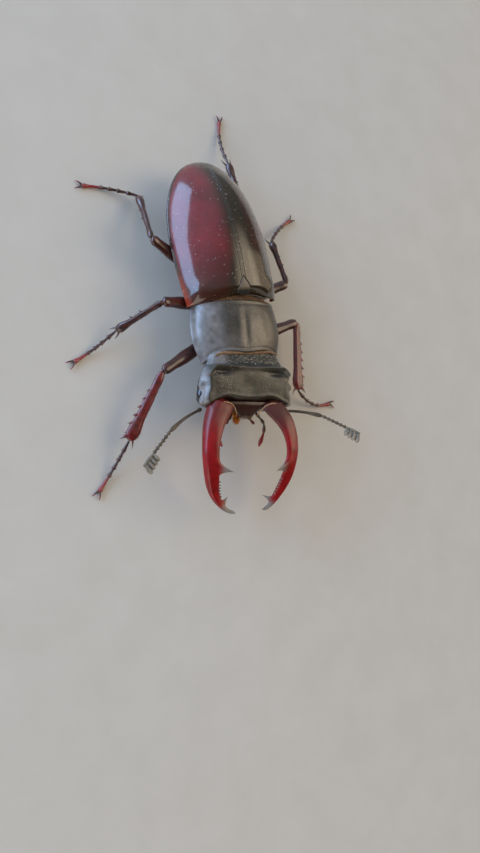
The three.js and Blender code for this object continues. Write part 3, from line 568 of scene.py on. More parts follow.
def dome_top(x, y):
    """Height of the dome over the floor at x, y: margin + height * arch."""
    t = np.clip((y - ELYTRA_START) / ELYTRA_LENGTH, 0, 1)
    share = np.abs(x) / np.maximum(dome_half_width(t), 0.1)
    return margin_height(t) + dome_height(t) * arch_at(share, t)


def shield_half_width(y):
    """Half width of the scutellum at y: a triangle with nearly straight sides, from a quadratic curve."""
    q = np.linspace(0, 1, 60)
    across = (1 - q) ** 2 * SHIELD_HALF + 2 * q * (1 - q) * 0.58 * SHIELD_HALF
    ahead = SHIELD_FRONT + 2 * q * (1 - q) * 0.6 * SHIELD_LENGTH + q**2 * SHIELD_LENGTH
    return np.interp(y, ahead, across, left=SHIELD_HALF, right=0.0)


print("dome, mm wide and high:", 2 * dome_half_width(np.array(WIDEST_AT)), dome_height(np.array(HIGHEST_AT)))

# %% [markdown]
# The rings of an elytron run from the folded edge, round the side margin, over the dome to the suture,
# and back inside. Small features are added along the surface's normal: a bead and a gutter at the side
# margin, a fine line beside the suture, a furrow round the scutellum and a swelling at the shoulder.

# %% Elytra shells
EDGE_FOLD, EDGE_TUCK = 0.7, 0.7   # mm, how far the folded edge goes down and in
SEAM = 0.02                       # mm, from the suture to each elytron
BESIDE_SUTURE = 2.2               # mm, how far the fine grid lines run straight beside the suture
FOLD_COLUMNS = 14
LEFT_BROWN = 0.84                 # the left case is browner than the right by this share, a painted reflection of brown surroundings


def elytron_outer(side):
    """The outer surface as a grid of t x profile: the folded edge, then the dome from margin to suture.
    The last columns lie at set distances from the suture, so that fine lines follow the grid."""
    t = ends_dense(250, 0.8)[:, None]
    fold = np.linspace(0, 1, FOLD_COLUMNS, endpoint=False)[None]
    low = rim_angle(t)
    across = np.cos(low + (np.pi / 2 - low) * ends_dense(90, 0.5)[None, :-1]) / np.cos(low)
    half, high, margin = dome_half_width(t), dome_height(t), margin_height(t)
    beside = np.minimum(BESIDE_SUTURE, 0.4 * half)
    tuck = np.minimum(EDGE_TUCK, 0.5 * half)
    fold_x = half - tuck * (1 - np.sin(fold * np.pi / 2))
    fold_z = margin - EDGE_FOLD * np.minimum(1, half / 2) * np.cos(fold * np.pi / 2)
    dome_x = np.concatenate([beside + (half - beside) * across, beside * np.linspace(1, 0, 56)], 1)
    x = np.concatenate([fold_x, dome_x], 1)
    z = np.concatenate([fold_z, margin + high * arch_at(dome_x / np.maximum(half, 1e-3), t)], 1)
    bow = 0.75 * np.clip(1 - (x / 6.5) ** 2, 0, 1) * (1 - step(0, 0.07, t))
    y = ELYTRA_START + bow + t * ELYTRA_LENGTH + 0 * x
    return np.stack([side * np.maximum(x, SEAM), y, z], -1), t


def open_normals(points, side):
    """Outward directions on an open grid, from its two gradients."""
    return unit(np.cross(np.gradient(points, axis=0), np.gradient(points, axis=1))) * side


def elytron(side):
    """Outer and inner surface, and the numbers that the finish reads: the rim's painted glow, and the brown with
    its painted shade and reflection.
    """
    points, t = elytron_outer(side)
    normals = open_normals(points, side)
    along = np.linalg.norm(np.diff(points, axis=1, prepend=points[:, :1]), axis=-1).cumsum(1)
    gap = along - along[:, FOLD_COLUMNS:FOLD_COLUMNS + 1]        # mm over the surface from the margin
    x, y, up = np.abs(points[..., 0]), points[..., 1], gap > -0.01
    middle = step(0.0, 0.05, t) * step(1.0, 0.9, t)
    relief = middle * 0.025 * bell(gap - 0.05, 0.16)
    relief -= 0.035 * bell(x - 0.44, 0.06) * up * step(0.95, 0.8, t)
    tip_y = SHIELD_FRONT + SHIELD_LENGTH
    outline = (x - shield_half_width(y)) * 0.8
    relief -= 0.12 * bell(outline - 0.03, 0.09) * step(tip_y + 0.3, tip_y, y) * up * step(0.9, 1.4, y)
    relief += 0.3 * bell(t - 0.085, 0.05) * bell(x - 8.4, 1.3) * up
    relief += 0.02 * grain(points, 3.2) * up * middle
    outer = points + relief[..., None] * normals
    outer[..., 0] = side * np.maximum(side * outer[..., 0], SEAM)
    edge = np.minimum(np.minimum(t / 0.05, (1 - t) / 0.08), 1) * np.minimum(1, (np.abs(gap) + 0.2) / 0.9)
    inner = outer - (0.1 + 0.35 * edge)[..., None] * normals
    inner[..., 0] = side * np.maximum(side * inner[..., 0], SEAM)
    # rim: a painted orange glow at the shoulders, as of light through the thin shell
    rim = 0.75 * step(0.3, 0.12, t) * step(2.0, 0.3, gap + 3.4 * t)
    # brown beside the suture; painted shade at the front and along the margin; and over the whole left case, by
    # LEFT_BROWN, a painted reflection of brown surroundings
    brown = bell(x, 2.3) + 0.75 * step(0.36, 0.05, t) + 0.9 * step(0.8, 0.4, gap)
    seam = np.clip(brown + (LEFT_BROWN if side > 0 else 0), 0, 1) * (1 - rim)
    dusty = step(0.8, 0.97, t + 0.03 * (side * x - 2)) * step(-0.3, 0.4, grain(points, 1.5, 8)) * up
    both = lambda grid: np.concatenate([grid, grid[:, ::-1]], 1)
    rings = np.concatenate([outer, inner[:, ::-1]], 1)
    return closed_strip(rings, rim=both(rim), seam=both(seam), dusty=both(dusty))


def closed_strip(rings, **attributes):
    """As closed_stack, but each end is closed by joining the ring's first half to its second half, which
    suits the thin ring of a shell."""
    shape = closed_stack(rings, **attributes)
    rows, sides = rings.shape[:2]
    count = rows * sides
    body = shape["faces"][:1]
    half = sides // 2
    for row, flip in ((0, False), (rows - 1, True)):
        a = row * sides + np.arange(half - 1)
        b = row * sides + sides - 1 - np.arange(half - 1)
        strip = np.stack([a, a + 1, b - 1, b], -1)
        body.append(strip[:, ::-1] if flip else strip)
    shape["faces"] = body
    shape["points"] = shape["points"][:count]
    shape["values"] = {name: value[:count] for name, value in shape["values"].items()}
    return shape


for side, word in SIDES:
    make_piece(f"elytron_{word}_shell", [elytron(side)], ABDOMEN, ELYTRON,
               [f"elytron_{word}"], ("rim", "seam", "dusty"))

# %% [markdown]
# ## Scutellum
# The scutellum is the small shield between the bases of the elytra. It is a stack of flat ovals along the
# body's length, as wide as the shield at each, and lies level with the dome inside a fine furrow.

# %% Scutellum
def scutellum():
    """Rings across the body: x = cos * half width, z = dome height + a low crown on top, less a wall below."""
    y = SHIELD_FRONT - SHIELD_HIDDEN + (SHIELD_LENGTH + SHIELD_HIDDEN - 0.05) * ends_dense(70, 0.7)
    half = np.maximum(shield_half_width(y) - 0.03, 0.02)
    half = half * np.sqrt(1 - (1 - np.clip((y - y[0]) / 0.35, 0.02, 1)) ** 2)
    angle = (np.arange(48) + 0.5) / 48 * 2 * np.pi
    x = half[:, None] * power(np.cos(angle), 0.8)
    crown = 0.07 * power(np.sin(angle), 0.5)
    z = dome_top(x, y[:, None] + 0 * x) + np.where(crown > 0, crown, 6 * crown)
    rings = np.stack([x, y[:, None] + 0 * x, z], -1)
    # dark: painted shadow at the base of the shield, in the joint under the pronotum
    return closed_stack(rings, pitted=0.4, dark=step(SHIELD_FRONT + 0.5, SHIELD_FRONT - 0.2, y)[:, None])


make_piece("scutellum_shield", [scutellum()], ABDOMEN, SCUTELLUM, ["scutellum"], ("pitted", "dark"))

# %% [markdown]
# ## Pronotum and the front of the body
# The prothorax is one ring of shell: a satin dome above, the pronotum, and the breastplate below, which
# meet in a fine ridge along each side. Its front edge is hollow to take the neck, and its front corners
# reach forward. The rings follow that edge, and a few more rings turn in at the front as the neck's socket.

# %% Prothorax
PRONOTUM_LENGTH, PRONOTUM_HALF, PRONOTUM_FRONT_HALF = 10.1, 9.9, 8.3
PRONOTUM_HEIGHT, PRONOTUM_DEPTH, PRONOTUM_CORNER = 4.85, 3.9, 1.7
PRONOTUM_Z = MARGIN_Z - 0.2


def pronotum_half_width(s):
    """Widest in the middle: a sine from the hind corners, then a curve in to the front corners."""
    hind = 0.93 * PRONOTUM_HALF
    rear = hind + (PRONOTUM_HALF - hind) * np.sin(np.clip(s / 0.45, 0, 1) * np.pi / 2)
    return rear - (PRONOTUM_HALF - PRONOTUM_FRONT_HALF) * np.clip((s - 0.5) / 0.5, 0, 1) ** 1.6


def front_margin(x):
    """How far ahead the front edge is: the length, a little more in the middle, and more near the corners,
    by the sixth power of x."""
    corner = PRONOTUM_CORNER * np.clip(np.abs(x) / PRONOTUM_FRONT_HALF, 0, 1) ** 6
    return PRONOTUM_LENGTH + 0.4 * bell(x, 2.4) + corner


def prothorax_rings(s, angle):
    """Points at the share s ahead and the angle round: cos and sin of a squarish oval, flatter above."""
    s, angle = s[:, None], angle[None]
    nearest = np.minimum(s, 1 - s) / 0.035
    rounding = 0.35 * (1 - np.sqrt(1 - (1 - np.clip(nearest, 0, 1)) ** 2))
    lower = np.sin(angle) < 0
    height = PRONOTUM_HEIGHT * (0.9 + 0.1 * np.sin(s * np.pi)) * (1 - 0.1 * s) - rounding
    depth = (PRONOTUM_DEPTH - rounding) * (1 - 0.25 * np.abs(2 * s - 1) ** 2)
    x = (pronotum_half_width(s) - rounding) * power(np.cos(angle), np.where(lower, 1.2, 2 / 2.1))
    rise = power(np.sin(angle), np.where(lower, 1.05, 2 / 2.1))
    y = 0.25 * np.clip(1 - (x / 5.5) ** 2, 0, 1) * (1 - step(0, 0.1, s)) - s * front_margin(x)
    z = PRONOTUM_Z + np.where(lower, depth, height) * rise
    return np.stack([x, y + 0 * z, z], -1)


PRO_S = ends_dense(150, 0.75)
PRO_ANGLE = np.concatenate([np.pi * ends_dense(170, 0.5)[:-1], np.pi + np.pi * ends_dense(90, 0.5)[:-1]])


def prothorax():
    """The rings with their relief, then rings that turn in as the socket, and the numbers for the finish."""
    rings = prothorax_rings(PRO_S, PRO_ANGLE)
    normals = ring_normals(rings)
    s = PRO_S[:, None]
    x, top = np.abs(rings[..., 0]), step(0.0, 0.25, np.sin(PRO_ANGLE))[None]
    side_ridge = bell((rings[..., 2] - PRONOTUM_Z) / 1.0, 0.22) * (x > 5)
    relief = 0.2 * side_ridge - 0.08 * bell(rings[..., 2] - PRONOTUM_Z - 0.75, 0.3) * (x > 5)
    relief += 0.05 * bell(s - 0.972, 0.022) - 0.05 * bell(s - 0.925, 0.025) * top
    relief += 0.03 * bell(s - 0.025, 0.02) - 0.03 * bell(s - 0.07, 0.025) * top
    middle = step(0.05, 0.35, s) * step(0.98, 0.7, s) * top
    relief += middle * (0.07 * bell(x - 1.25, 0.8) - 0.07 * bell(x, 0.5))
    relief -= middle * 0.14 * bell(x - 5.6, 1.3) * bell(s - 0.5, 0.2)
    relief += (0.03 * grain(rings, 2.4, 3) + 0.01 * grain(rings, 0.5, 4)) * (0.4 + 0.6 * top)
    rings = rings + relief[..., None] * normals
    centre = rings[-1].mean(0)
    socket = [centre + (rings[-1] - centre) * [k, 1, k] + [0, d, 0] for k, d in
              ((0.965, -0.03), (0.93, 0.1), (0.88, 0.6), (0.8, 1.3), (0.4, 1.5))]
    rings = np.concatenate([rings, np.array(socket)])
    pitted = 0.12 + 0.3 * grain(rings, 3.0, 9)
    out, ahead = rings[..., 0], -rings[..., 1]
    # dark: painted shade right of the middle, a painted dark reflection of the ceiling, and on the left flank,
    # away from the light
    dark = 0.9 * bell(out + 1.8, 1.8) * bell(ahead - 4.5, 2.6) + 0.8 * step(4.6, 7.4, out)
    # painted sheen: paler on the right flank and its front part, which face the light
    bloom = 0.6 * step(-3.4, -6.5, out) + 0.35 * bell(out + 3.2, 2.0) * step(6.0, 8.5, ahead)
    bloom = bloom * (1 + 0.5 * grain(rings, 0.8, 10))
    return closed_stack(rings, pitted=np.clip(pitted, 0, 0.6), dark=dark, bloom=np.clip(bloom, 0, 1))


make_piece("pronotum_shell", [prothorax()], THORAX, THORAX_SHELL, ["prothorax"],
           ("pitted", "dark", "bloom"))

# %% [markdown]
# ## Belly
# Under the elytra the hind body is a keeled hull. Its front part carries four legs, and behind them come
# the belly plates, which overlap like roof tiles: the depth grows a little along each plate and drops
# back at its end. The top is hidden and stays smooth.

# %% Pterothorax and abdomen
BELLY_DEPTH, BELLY_INSET = 4.7, 1.05                 # mm
BELLY_START, BELLY_SPLIT, BELLY_END = 0.6, 11.6, 29.0
PLATE_ENDS = (0.47, 0.57, 0.67, 0.78, 0.9)    # shares of the length where a belly plate ends


def belly_rings(t, sides=150):
    """Ovals a little inside the elytra: their arch above, and a keeled curve of the belly's depth below."""
    t = t[:, None]
    angle = ((np.arange(sides) + 0.5) / sides * 2 * np.pi)[None]
    lower = np.sin(angle) < 0
    half = np.maximum(0.2, dome_half_width(t) - 1.4 * BELLY_INSET)
    height = np.maximum(0.2, dome_height(t) - BELLY_INSET - 0.25)
    depth = BELLY_DEPTH * np.sqrt(1 - np.clip((t - 0.3) / 0.7, 0, 1) ** 2.4 * 0.97)
    x = half * power(np.cos(angle), np.where(lower, 1.35, 1.0))
    rise = np.where(lower, power(np.sin(angle), 1.15), arch_at(np.abs(np.cos(angle)), t))
    y = BELLY_START + 0.4 + t * (ELYTRA_LENGTH - BELLY_INSET - BELLY_START) + 0 * x
    z = margin_height(t) - 0.1 + np.where(lower, depth, height) * rise
    return np.stack([x, y, z + 0 * x], -1)


def belly_part(low, high, count):
    """The rings whose y lies between low and high, with the relief of plates, sutures and a middle line."""
    t_of = lambda y: (y - BELLY_START - 0.4) / (ELYTRA_LENGTH - BELLY_INSET - BELLY_START)
    t = np.clip(t_of(low) + (t_of(high) - t_of(low)) * ends_dense(count, 0.3), 0, 0.985)
    rings = belly_rings(t)
    normals = ring_normals(rings)
    under = step(MARGIN_Z + 0.4, MARGIN_Z - 0.8, rings[..., 2])
    x = np.abs(rings[..., 0])
    relief = -0.16 * bell(x, 0.16) * under * (t < 0.4)[:, None]
    starts = (0.36,) + PLATE_ENDS[:-1]
    for start, end in zip(starts, PLATE_ENDS):
        on_plate = (t >= start) * (t < end)
        relief += (0.22 * on_plate * (t - start) / (end - start))[:, None] * under
        relief -= (0.1 * bell(t - end, 0.004))[:, None] * under
    relief -= (0.2 * bell(t - 0.2, 0.006))[:, None] * under * step(1.5, 3.0, x)
    relief += 0.02 * grain(rings, 0.6, 5) * under
    rings = rings + relief[..., None] * normals
    return rings, closed_stack(rings, pitted=0.4 * under)


THORAX_RINGS, thorax_hull = belly_part(BELLY_START + 0.4, BELLY_SPLIT - 0.15, 90)
_, abdomen_hull = belly_part(BELLY_SPLIT + 0.02, BELLY_END, 200)
make_piece("breastplate", [thorax_hull], ABDOMEN, UNDERSIDE, ["pterothorax"], ("pitted",))
make_piece("belly_plates", [abdomen_hull], ABDOMEN, UNDERSIDE, ["abdomen"], ("pitted",))

# %% [markdown]
# ## Head
# A male's head is a broad block. Its top has four zones from back to front: the pitted nape, which slides
# under the pronotum; a raised crest, with hollows before its ends; a flat shagreened disc; and a step
# down to the jaws. The outlines seen from above are splines, and the height is a formula in x and u,
# where u is the distance ahead of the neck.

# %% Head height and outline
HEAD_START, HEAD_END = -2.2, 9.9    # u, in mm
# Half widths of the whole head and of its flat top, as [u, mm out], and the front edge, as [mm out, u].
CHEEK = [[HEAD_START, 6.2], [-1, 7.4], [0, 8.0], [1.3, 8.6], [2.6, 9.3], [5.4, 10.2], [7.2, 10.35], [9.0, 9.85],
         [HEAD_END, 8.3]]
DISC = [[HEAD_START, 5.2], [-1, 6.4], [0, 7.2], [1.2, 8.0], [2.1, 8.6], [4, 9.0], [6.5, 8.9], [8.2, 9.3],
        [HEAD_END, 8.2]]
FRONT_EDGE = [[0, 8.1], [2.5, 8.0], [4.6, 7.75], [7.0, 8.35], [8.9, 9.2], [10, 9.6]]


def table(rows, at):
    """A natural spline through [place, value] rows, read at an array of places."""
    rows = np.array(rows, float)
    at = np.asarray(at, float)
    return spline(rows[:, 1], at.ravel(), rows[:, 0])[:, 0].reshape(at.shape)


def head_top(x, u):
    """Nape + (disc - nape) * climb + crest - step down at the front edge, with a hollow before each end
    of the crest and a low fold between the disc and the cheeks."""
    side = np.abs(x)
    crest = 2.1 + 0.7 * np.maximum(0, side - 7.6) ** 1.5
    nape = 11.2 + 0.2 * np.minimum(u, 2) - 0.006 * side**2
    disc = 12.25 - 0.17 * np.maximum(0, u - crest) - 0.012 * np.maximum(0, u - 5) ** 2
    climb = step(-0.95, 0.1, u - crest)
    ridge = (0.12 + 0.075 * np.maximum(0, side - 1.5)) * bell(u - crest, 0.55)
    hollow = 0.6 * bell(u - crest - 0.9, 0.7) * bell(side - 6.3, 2.1)
    edge = table(FRONT_EDGE, side)
    drop = 1.75 * step(-0.15, 0.75, u - edge)
    lip = 0.1 * bell(u - edge + 0.35, 0.3)
    dip = 0.14 * bell(x, 2.2) * step(3.5, 6.5, u)
    return nape + (disc - nape) * climb + ridge - hollow + lip - drop - dip


print("head, mm high over the floor at the crest's ends:", head_top(np.array(8.0), np.array(2.2)))

# %% [markdown]
# Each ring of the head runs over its top, down the cheek and under the throat, and is mirrored for the other
# half. The fine relief is pushed along the normals: grit on the nape, grain on the disc, and an eye socket
# with a bar of shell, the canthus, over it. The zones also go to the finish, as numbers at the points.

# %% Head shell
def side_profile(points, count):
    """Catmull-Rom through a list of (x, z) arrays, one after the other, evaluated for every station."""
    points = np.stack([2 * points[0] - points[1], *points, points[-2] * [-1, 1] + 0 * points[-1]], 1)
    at = np.linspace(0, points.shape[1] - 3, count, endpoint=False)
    k, s = at.astype(int), (at % 1)[None, :, None]
    p0, p1, p2, p3 = (points[:, k + j] for j in range(4))
    return 0.5 * (2 * p1 + (p2 - p0) * s + (2 * p0 - 5 * p1 + 4 * p2 - p3) * s**2
                  + (3 * (p1 - p2) + p3 - p0) * s**3)


def head_rings():
    """Rings of [x, y, z] at places ahead of the neck: the top from head_top, the flank as a smooth line
    through six points, and both mirrored."""
    u = HEAD_START + (HEAD_END - HEAD_START) * ends_dense(250, 0.25)
    disc, cheek = table(DISC, u), table(CHEEK, u)
    share = np.sin(np.pi / 2 * np.linspace(0, 1, 90) ** 0.9)
    cheek_z = 9.6 - 0.05 * u
    depth = 5.2 * (0.78 + 0.22 * np.sin(np.clip(u / 6, 0, 1) * np.pi / 2))
    depth = depth * (1 - 0.25 * step(8.5, HEAD_END, u))
    x = share * disc[:, None]
    z = head_top(x, u[:, None] + 0 * x) - 0.3 * share**14
    top_z = z[:, -1]
    rows = [(disc, top_z), (0.4 * disc + 0.6 * cheek, cheek_z + 0.5 * (top_z - cheek_z)), (cheek, cheek_z),
            (0.9 * cheek, cheek_z - 0.45 * depth), (0.56 * cheek, cheek_z - 0.88 * depth),
            (0 * cheek, cheek_z - depth)]
    flank = side_profile([np.stack(row, -1) for row in rows], 110)
    half = np.concatenate([np.stack([x, z], -1)[:, :-1], flank, np.stack(rows[-1], -1)[:, None]], 1)
    other = half[:, -2:0:-1] * [-1, 1]
    ring = np.concatenate([half, other], 1)
    y = NECK_Y - u[:, None] + 0 * ring[..., 0]
    return np.stack([ring[..., 0], y, ring[..., 1]], -1), u


EYE_AT = np.array([9.45, 7.2, 9.0])   # mm: out, ahead of the neck, height
EYE_RADII = np.array([1.2, 1.5, 1.05])


def head_shell():
    """The rings with their relief, how pitted or red the shell is at each point, and its painted shade and
    sheen.
    """
    rings, u = head_rings()
    normals = ring_normals(rings)
    x, z, u = np.abs(rings[..., 0]), rings[..., 2], u[:, None]
    nape = step(2.0, 1.2, u) * step(9.5, 10.5, z)
    upper = step(9.0, 10.5, z)
    relief = nape * (0.05 * grain(rings, 0.42, 11) + 0.03 * grain(rings, 0.2, 12))
    relief += (1 - nape) * upper * (0.01 * grain(rings, 0.3, 13) + 0.05 * grain(rings, 1.9, 14))
    relief += 0.05 * grain(rings, 0.5, 15) * (1 - upper)
    canthus = bell(u - 5.4, 0.75) * bell(z - 9.9, 0.55) * (x > 8)
    orbit = np.sqrt((u - EYE_AT[1]) ** 2 + (1.3 * (z - EYE_AT[2])) ** 2)
    relief += 0.45 * canthus + 0.16 * bell(orbit - 1.75, 0.22) * (x > 8)
    relief -= 0.3 * bell(orbit, 1.1) * (x > 8)
    relief += 0.3 * bell(u - 8.9, 0.5) * bell(z - 9.6, 0.7) * (x > 8)
    rings = rings + relief[..., None] * normals
    cheek = step(-0.2, 0.6, x - table(DISC, u + 0 * x)) * step(8.6, 9.4, z)
    dusty = bell(rings[..., 0] + 5.3, 1.6) * bell(u - 5.5, 2.0) + 0.45 * step(0.1, 0.5, grain(rings, 1.1, 16))
    pitted = np.clip(nape * (0.6 + 0.9 * grain(rings, 1.3, 18)) + 0.5 * cheek + upper * dusty, 0, 1)
    # painted sheen: pale patches on the cheeks, and on the right end of the nape, which faces the light
    bloom = cheek * step(-0.5, 0.4, grain(rings, 1.4, 17)) * step(9.8, 8.6, u)
    nape_end = nape * step(4.0, 5.6, -rings[..., 0])
    bloom = np.maximum(bloom, 0.6 * nape_end)
    # dark: painted shade on the nape, except its lit right end, and the crest's painted shadow in the hollows
    # before it
    hollow = bell(u - 3.1, 0.9) * bell(x - 6.0, 2.4) * upper
    dark = np.clip(0.75 * (nape - nape_end) + 0.95 * hollow, 0, 1)
    red = step(-0.1, 0.5, u - table(FRONT_EDGE, np.minimum(x, 9.9))) * (z > 8)
    return closed_stack(rings, pitted=pitted, dark=dark, red=red, bloom=bloom)


make_piece("head_shell", [head_shell()], HEAD, HEAD_SHELL, ["head"], ("pitted", "dark", "red", "bloom"))

# %% [markdown]
# ## Eyes
# The compound eyes bulge low on the cheeks, behind a bar of the head. Each is an egg shape: rings of
# latitude, with radius the sine and height the cosine.

# %% Eyes
def egg(centre, radii, rows=40, sides=56):
    """Rings of latitude about the Y axis: radius sin, distance along Y cos, times the three radii."""
    angle = np.pi * np.linspace(0.01, 0.99, rows)[:, None]
    around = (np.arange(sides) / sides * 2 * np.pi)[None]
    radius = np.sin(angle)
    ball = np.stack([radius * np.cos(around), np.cos(angle) + 0 * around, radius * np.sin(around)], -1)
    return np.asarray(centre) + ball * radii


def head_point(x, u, z):
    """A point of the head frame from its distance out, its distance ahead of the neck and its height."""
    x, u, z = np.broadcast_arrays(np.asarray(x, float), u, z)
    return np.stack([x, NECK_Y - u, z], -1)


for side, word in SIDES:
    centre = head_point(side * EYE_AT[0], EYE_AT[1], EYE_AT[2])
    make_piece(f"eye_{word}_cornea", [closed_stack(egg(centre, EYE_RADII))], HEAD, EYE, [f"eye_{word}"])

# %% [markdown]
# ## Mandibles
# Each antler is an oval carried along a bowed path, tilted so that its inner edge is up. A tooth is a
# pull on the surface: points near a spot on the inner edge move towards the tooth's tip, by a share that
# falls from 1 at the spot to 0 at a set distance. That gives a sharp point with a flowing base, which
# joined cones would lack.

# %% Mandible surface
# Share of the length ahead, share of the reach out, rise, half width, half depth, tilt in degrees.
MANDIBLE_ROWS = [
    [-0.085, 0.56, 0.10, 0.30, 0.20, 8],
    [-0.06, 0.565, 0.10, 1.70, 0.85, 8],
    [0.0, 0.60, 0.25, 2.55, 1.30, 14],
    [0.12, 0.745, 0.80, 2.20, 1.35, 22],
    [0.27, 0.847, 1.10, 1.87, 1.15, 30],
    [0.42, 0.88, 0.90, 1.66, 0.95, 30],
    [0.56, 0.853, 0.26, 1.58, 0.88, 30],
    [0.68, 0.799, -0.85, 1.36, 0.90, 30],
    [0.79, 0.711, -2.00, 1.00, 0.85, 30],
    [0.89, 0.569, -2.60, 0.64, 0.62, 30],
    [0.95, 0.42, -2.75, 0.40, 0.40, 30],
    [0.975, 0.28, -2.65, 0.16, 0.16, 30],
    [0.979, 0.255, -2.63, 0.03, 0.03, 30],
]
MANDIBLE_KNOTS = [-1.5, -1.1, 0, 1, 2, 3, 4, 5, 6, 7, 8, 9, 9.15]
ROOT_KNOT = -0.8      # behind it the antler is hidden in the head and needs few rings
MANDIBLE_REACH, MANDIBLE_START, MANDIBLE_Z = 10.5, 9.85, 9.75
MANDIBLE_FIT = {-1: (20.85, 0.0), 1: (20.45, 0.07)}    # each side's length, and how far its point turns out


def mandible_rings(side, rows=460, sides=110):
    """The oval's centre, width, depth and tilt come from splines through the rows. The angle runs from the
    inner edge, with more points there: angle = even angle - 0.45 * sine of it."""
    at = np.concatenate([np.linspace(MANDIBLE_KNOTS[0], ROOT_KNOT, 30)[:-1],
                         np.linspace(ROOT_KNOT, MANDIBLE_KNOTS[-1], rows)])
    ahead, out, rise, width, depth, tilt = spline(MANDIBLE_ROWS, at, MANDIBLE_KNOTS).T
    length, turn_out = MANDIBLE_FIT[side]
    out = out + turn_out * step(6.0, 9.0, at)
    centre = head_point(side * out * MANDIBLE_REACH, MANDIBLE_START + ahead * length, MANDIBLE_Z + rise)
    tangent = unit(np.gradient(centre, axis=0))
    level = unit(np.cross(tangent, [0.0, 0.0, 1.0]))
    upward = np.cross(level, tangent)
    cos, sin = np.cos(np.radians(tilt))[:, None], np.sin(np.radians(tilt))[:, None]
    inward, top = side * level * cos + upward * sin, upward * cos - side * level * sin
    even = np.arange(sides) / sides * 2 * np.pi
    angle = even - 0.45 * np.sin(even)
    ridge = 1 + 0.1 * bell(angle - 1.85, 0.3) + 0.05 * bell(angle - 4.4, 0.4)
    thin = 1 - 0.22 * np.cos(angle)
    wide = np.maximum(width, 0.02)[:, None] * np.cos(angle) * ridge
    deep = np.maximum(depth, 0.02)[:, None] * np.sin(angle) * ridge * thin
    rings = centre[:, None] + wide[..., None] * inward[:, None] + deep[..., None] * top[:, None]
    return rings, at, angle, inward


def pull_tooth(rings, spot, tip, behind, before, across, sharpness, bend=(0, 0, 0)):
    """Pulls the surface near rings[spot, 0] to the tip: the share is (1 - r) ^ sharpness, where r is the
    distance from the spot, as a part of the tooth's base behind it, before it and across the jaw."""
    root = rings[spot, 0].copy()
    line = np.concatenate([[0], np.cumsum(np.linalg.norm(np.diff(rings[:, 0], axis=0), axis=1))])
    offset = (line - line[spot])[:, None]
    offset = offset / np.where(offset < 0, behind, before)
    spread = np.linalg.norm(rings - rings[:, :1], axis=-1) / across
    share = np.clip(1 - np.sqrt(offset**2 + spread**2), 0, 1) ** sharpness
    pull = share[..., None] * (np.asarray(tip) - root) + (share * (1 - share))[..., None] * np.asarray(bend)
    return rings + pull, share


# Knot, tip (out, ahead, height), base behind, before and across in mm, sharpness, and how the tooth bends.
BIG_TEETH = (
    (4.3, (4.72, 22.62, 11.44), 3.3, 1.1, 1.7, 3.4, (0, 0.55, 0)),      # the great inner tooth
    (7.15, (3.85, 26.85, 6.6), 1.2, 0.7, 1.0, 2.5, (0, 0.1, 0.1)),      # the lower prong of the fork
)
DENTICLES = (5.1, 5.38, 5.66, 5.93, 6.2, 6.45)    # knots of the small teeth between them


def mandible(side):
    """The antler with its teeth pulled out, and its numbers: grey at tips and teeth, brown at the root."""
    rings, at, angle, inward = mandible_rings(side)
    pick = lambda place: int(np.argmin(np.abs(at - place)))
    # tip: grey on the points and teeth, a painted reflection on the dark horn
    tip = step(6.8, 7.8, at)[:, None] + 0 * angle
    teeth = [(pick(knot), head_point(side * out, ahead, high), *base)
             for knot, (out, ahead, high), *base in BIG_TEETH]
    for place in DENTICLES:
        spot = pick(place)
        teeth.append((spot, rings[spot, 0] + 0.42 * inward[spot] + [0, -0.08, 0.04], 0.24, 0.24, 0.4, 1.2))
    for tooth in teeth:
        rings, share = pull_tooth(rings, *tooth)
        tip = np.maximum(tip, step(0.06, 0.5, share))
    # root: brown, partly the horn's own colour and partly a painted dull reflection, stronger on the left jaw
    root = step(2.6, 0.4, at)[:, None] * (0.55 if side < 0 else 0.9) + 0 * angle
    rings = rings + (0.02 * grain(rings, 1.3, 21))[..., None] * ring_normals(rings)
    return closed_stack(rings, tip=np.clip(tip, 0, 1), root=root)


for side, word in SIDES:
    make_piece(f"mandible_{word}_antler", [mandible(side)], HEAD, MANDIBLE,
               [f"mandible_{word}"], ("tip", "root"))

# %% [markdown]
# ## Mouth
# Between the jaws the shield over the mouth narrows to the upper lip. Below it lie two brushes, which lap
# up sap, and two pairs of jointed palps. The socket of each jaw is bound by a thin golden rim.

# %% Lip, palps and socket rims
def beads(count, waist, belly, first=0.0, last=1.0):
    """[place, radius] rows for joints that each widen slowly from a waist and close quickly at the end."""
    rows = []
    for k in range(count):
        a, b = first + (last - first) * k / count, first + (last - first) * (k + 1) / count
        rows += [[a, waist], [a + 0.72 * (b - a), belly], [a + 0.9 * (b - a), 0.85 * belly]]
    return rows + [[last, waist]]


def curve_through(points, count):
    """A smooth path through a few points, evenly stepped in the spline's own parameter."""
    points = np.asarray(points, float)
    return spline(points, np.linspace(0, len(points) - 1, count))


def round_end(radius, t, length, start=True):
    """Closes a rod with round ends, or only its last end: near it the radius follows a quarter circle."""
    radius = np.array(radius, float)
    for gap in (t, 1 - t) if start else (1 - t,):
        radius = radius * np.sqrt(1 - (1 - np.clip(gap * length / np.maximum(radius, 1e-3), 0.003, 1)) ** 2)
    return radius


def rod(points, table_rows, length, count=90, sides=18, flat=1.0, tip=0.0):
    """A beaded rod through a few points, with round ends. The tip is the finish's share past 0.7 of it."""
    t = ends_dense(count, 0.3)
    path = curve_through(points, 200)
    path = np.stack([np.interp(t, np.linspace(0, 1, 200), path[:, k]) for k in range(3)], 1)
    radius = round_end(monotone(table_rows, t), t, length)
    return closed_stack(sweep(path, radius, radius * flat, sides=sides), tip=tip * step(0.6, 0.8, t)[:, None])


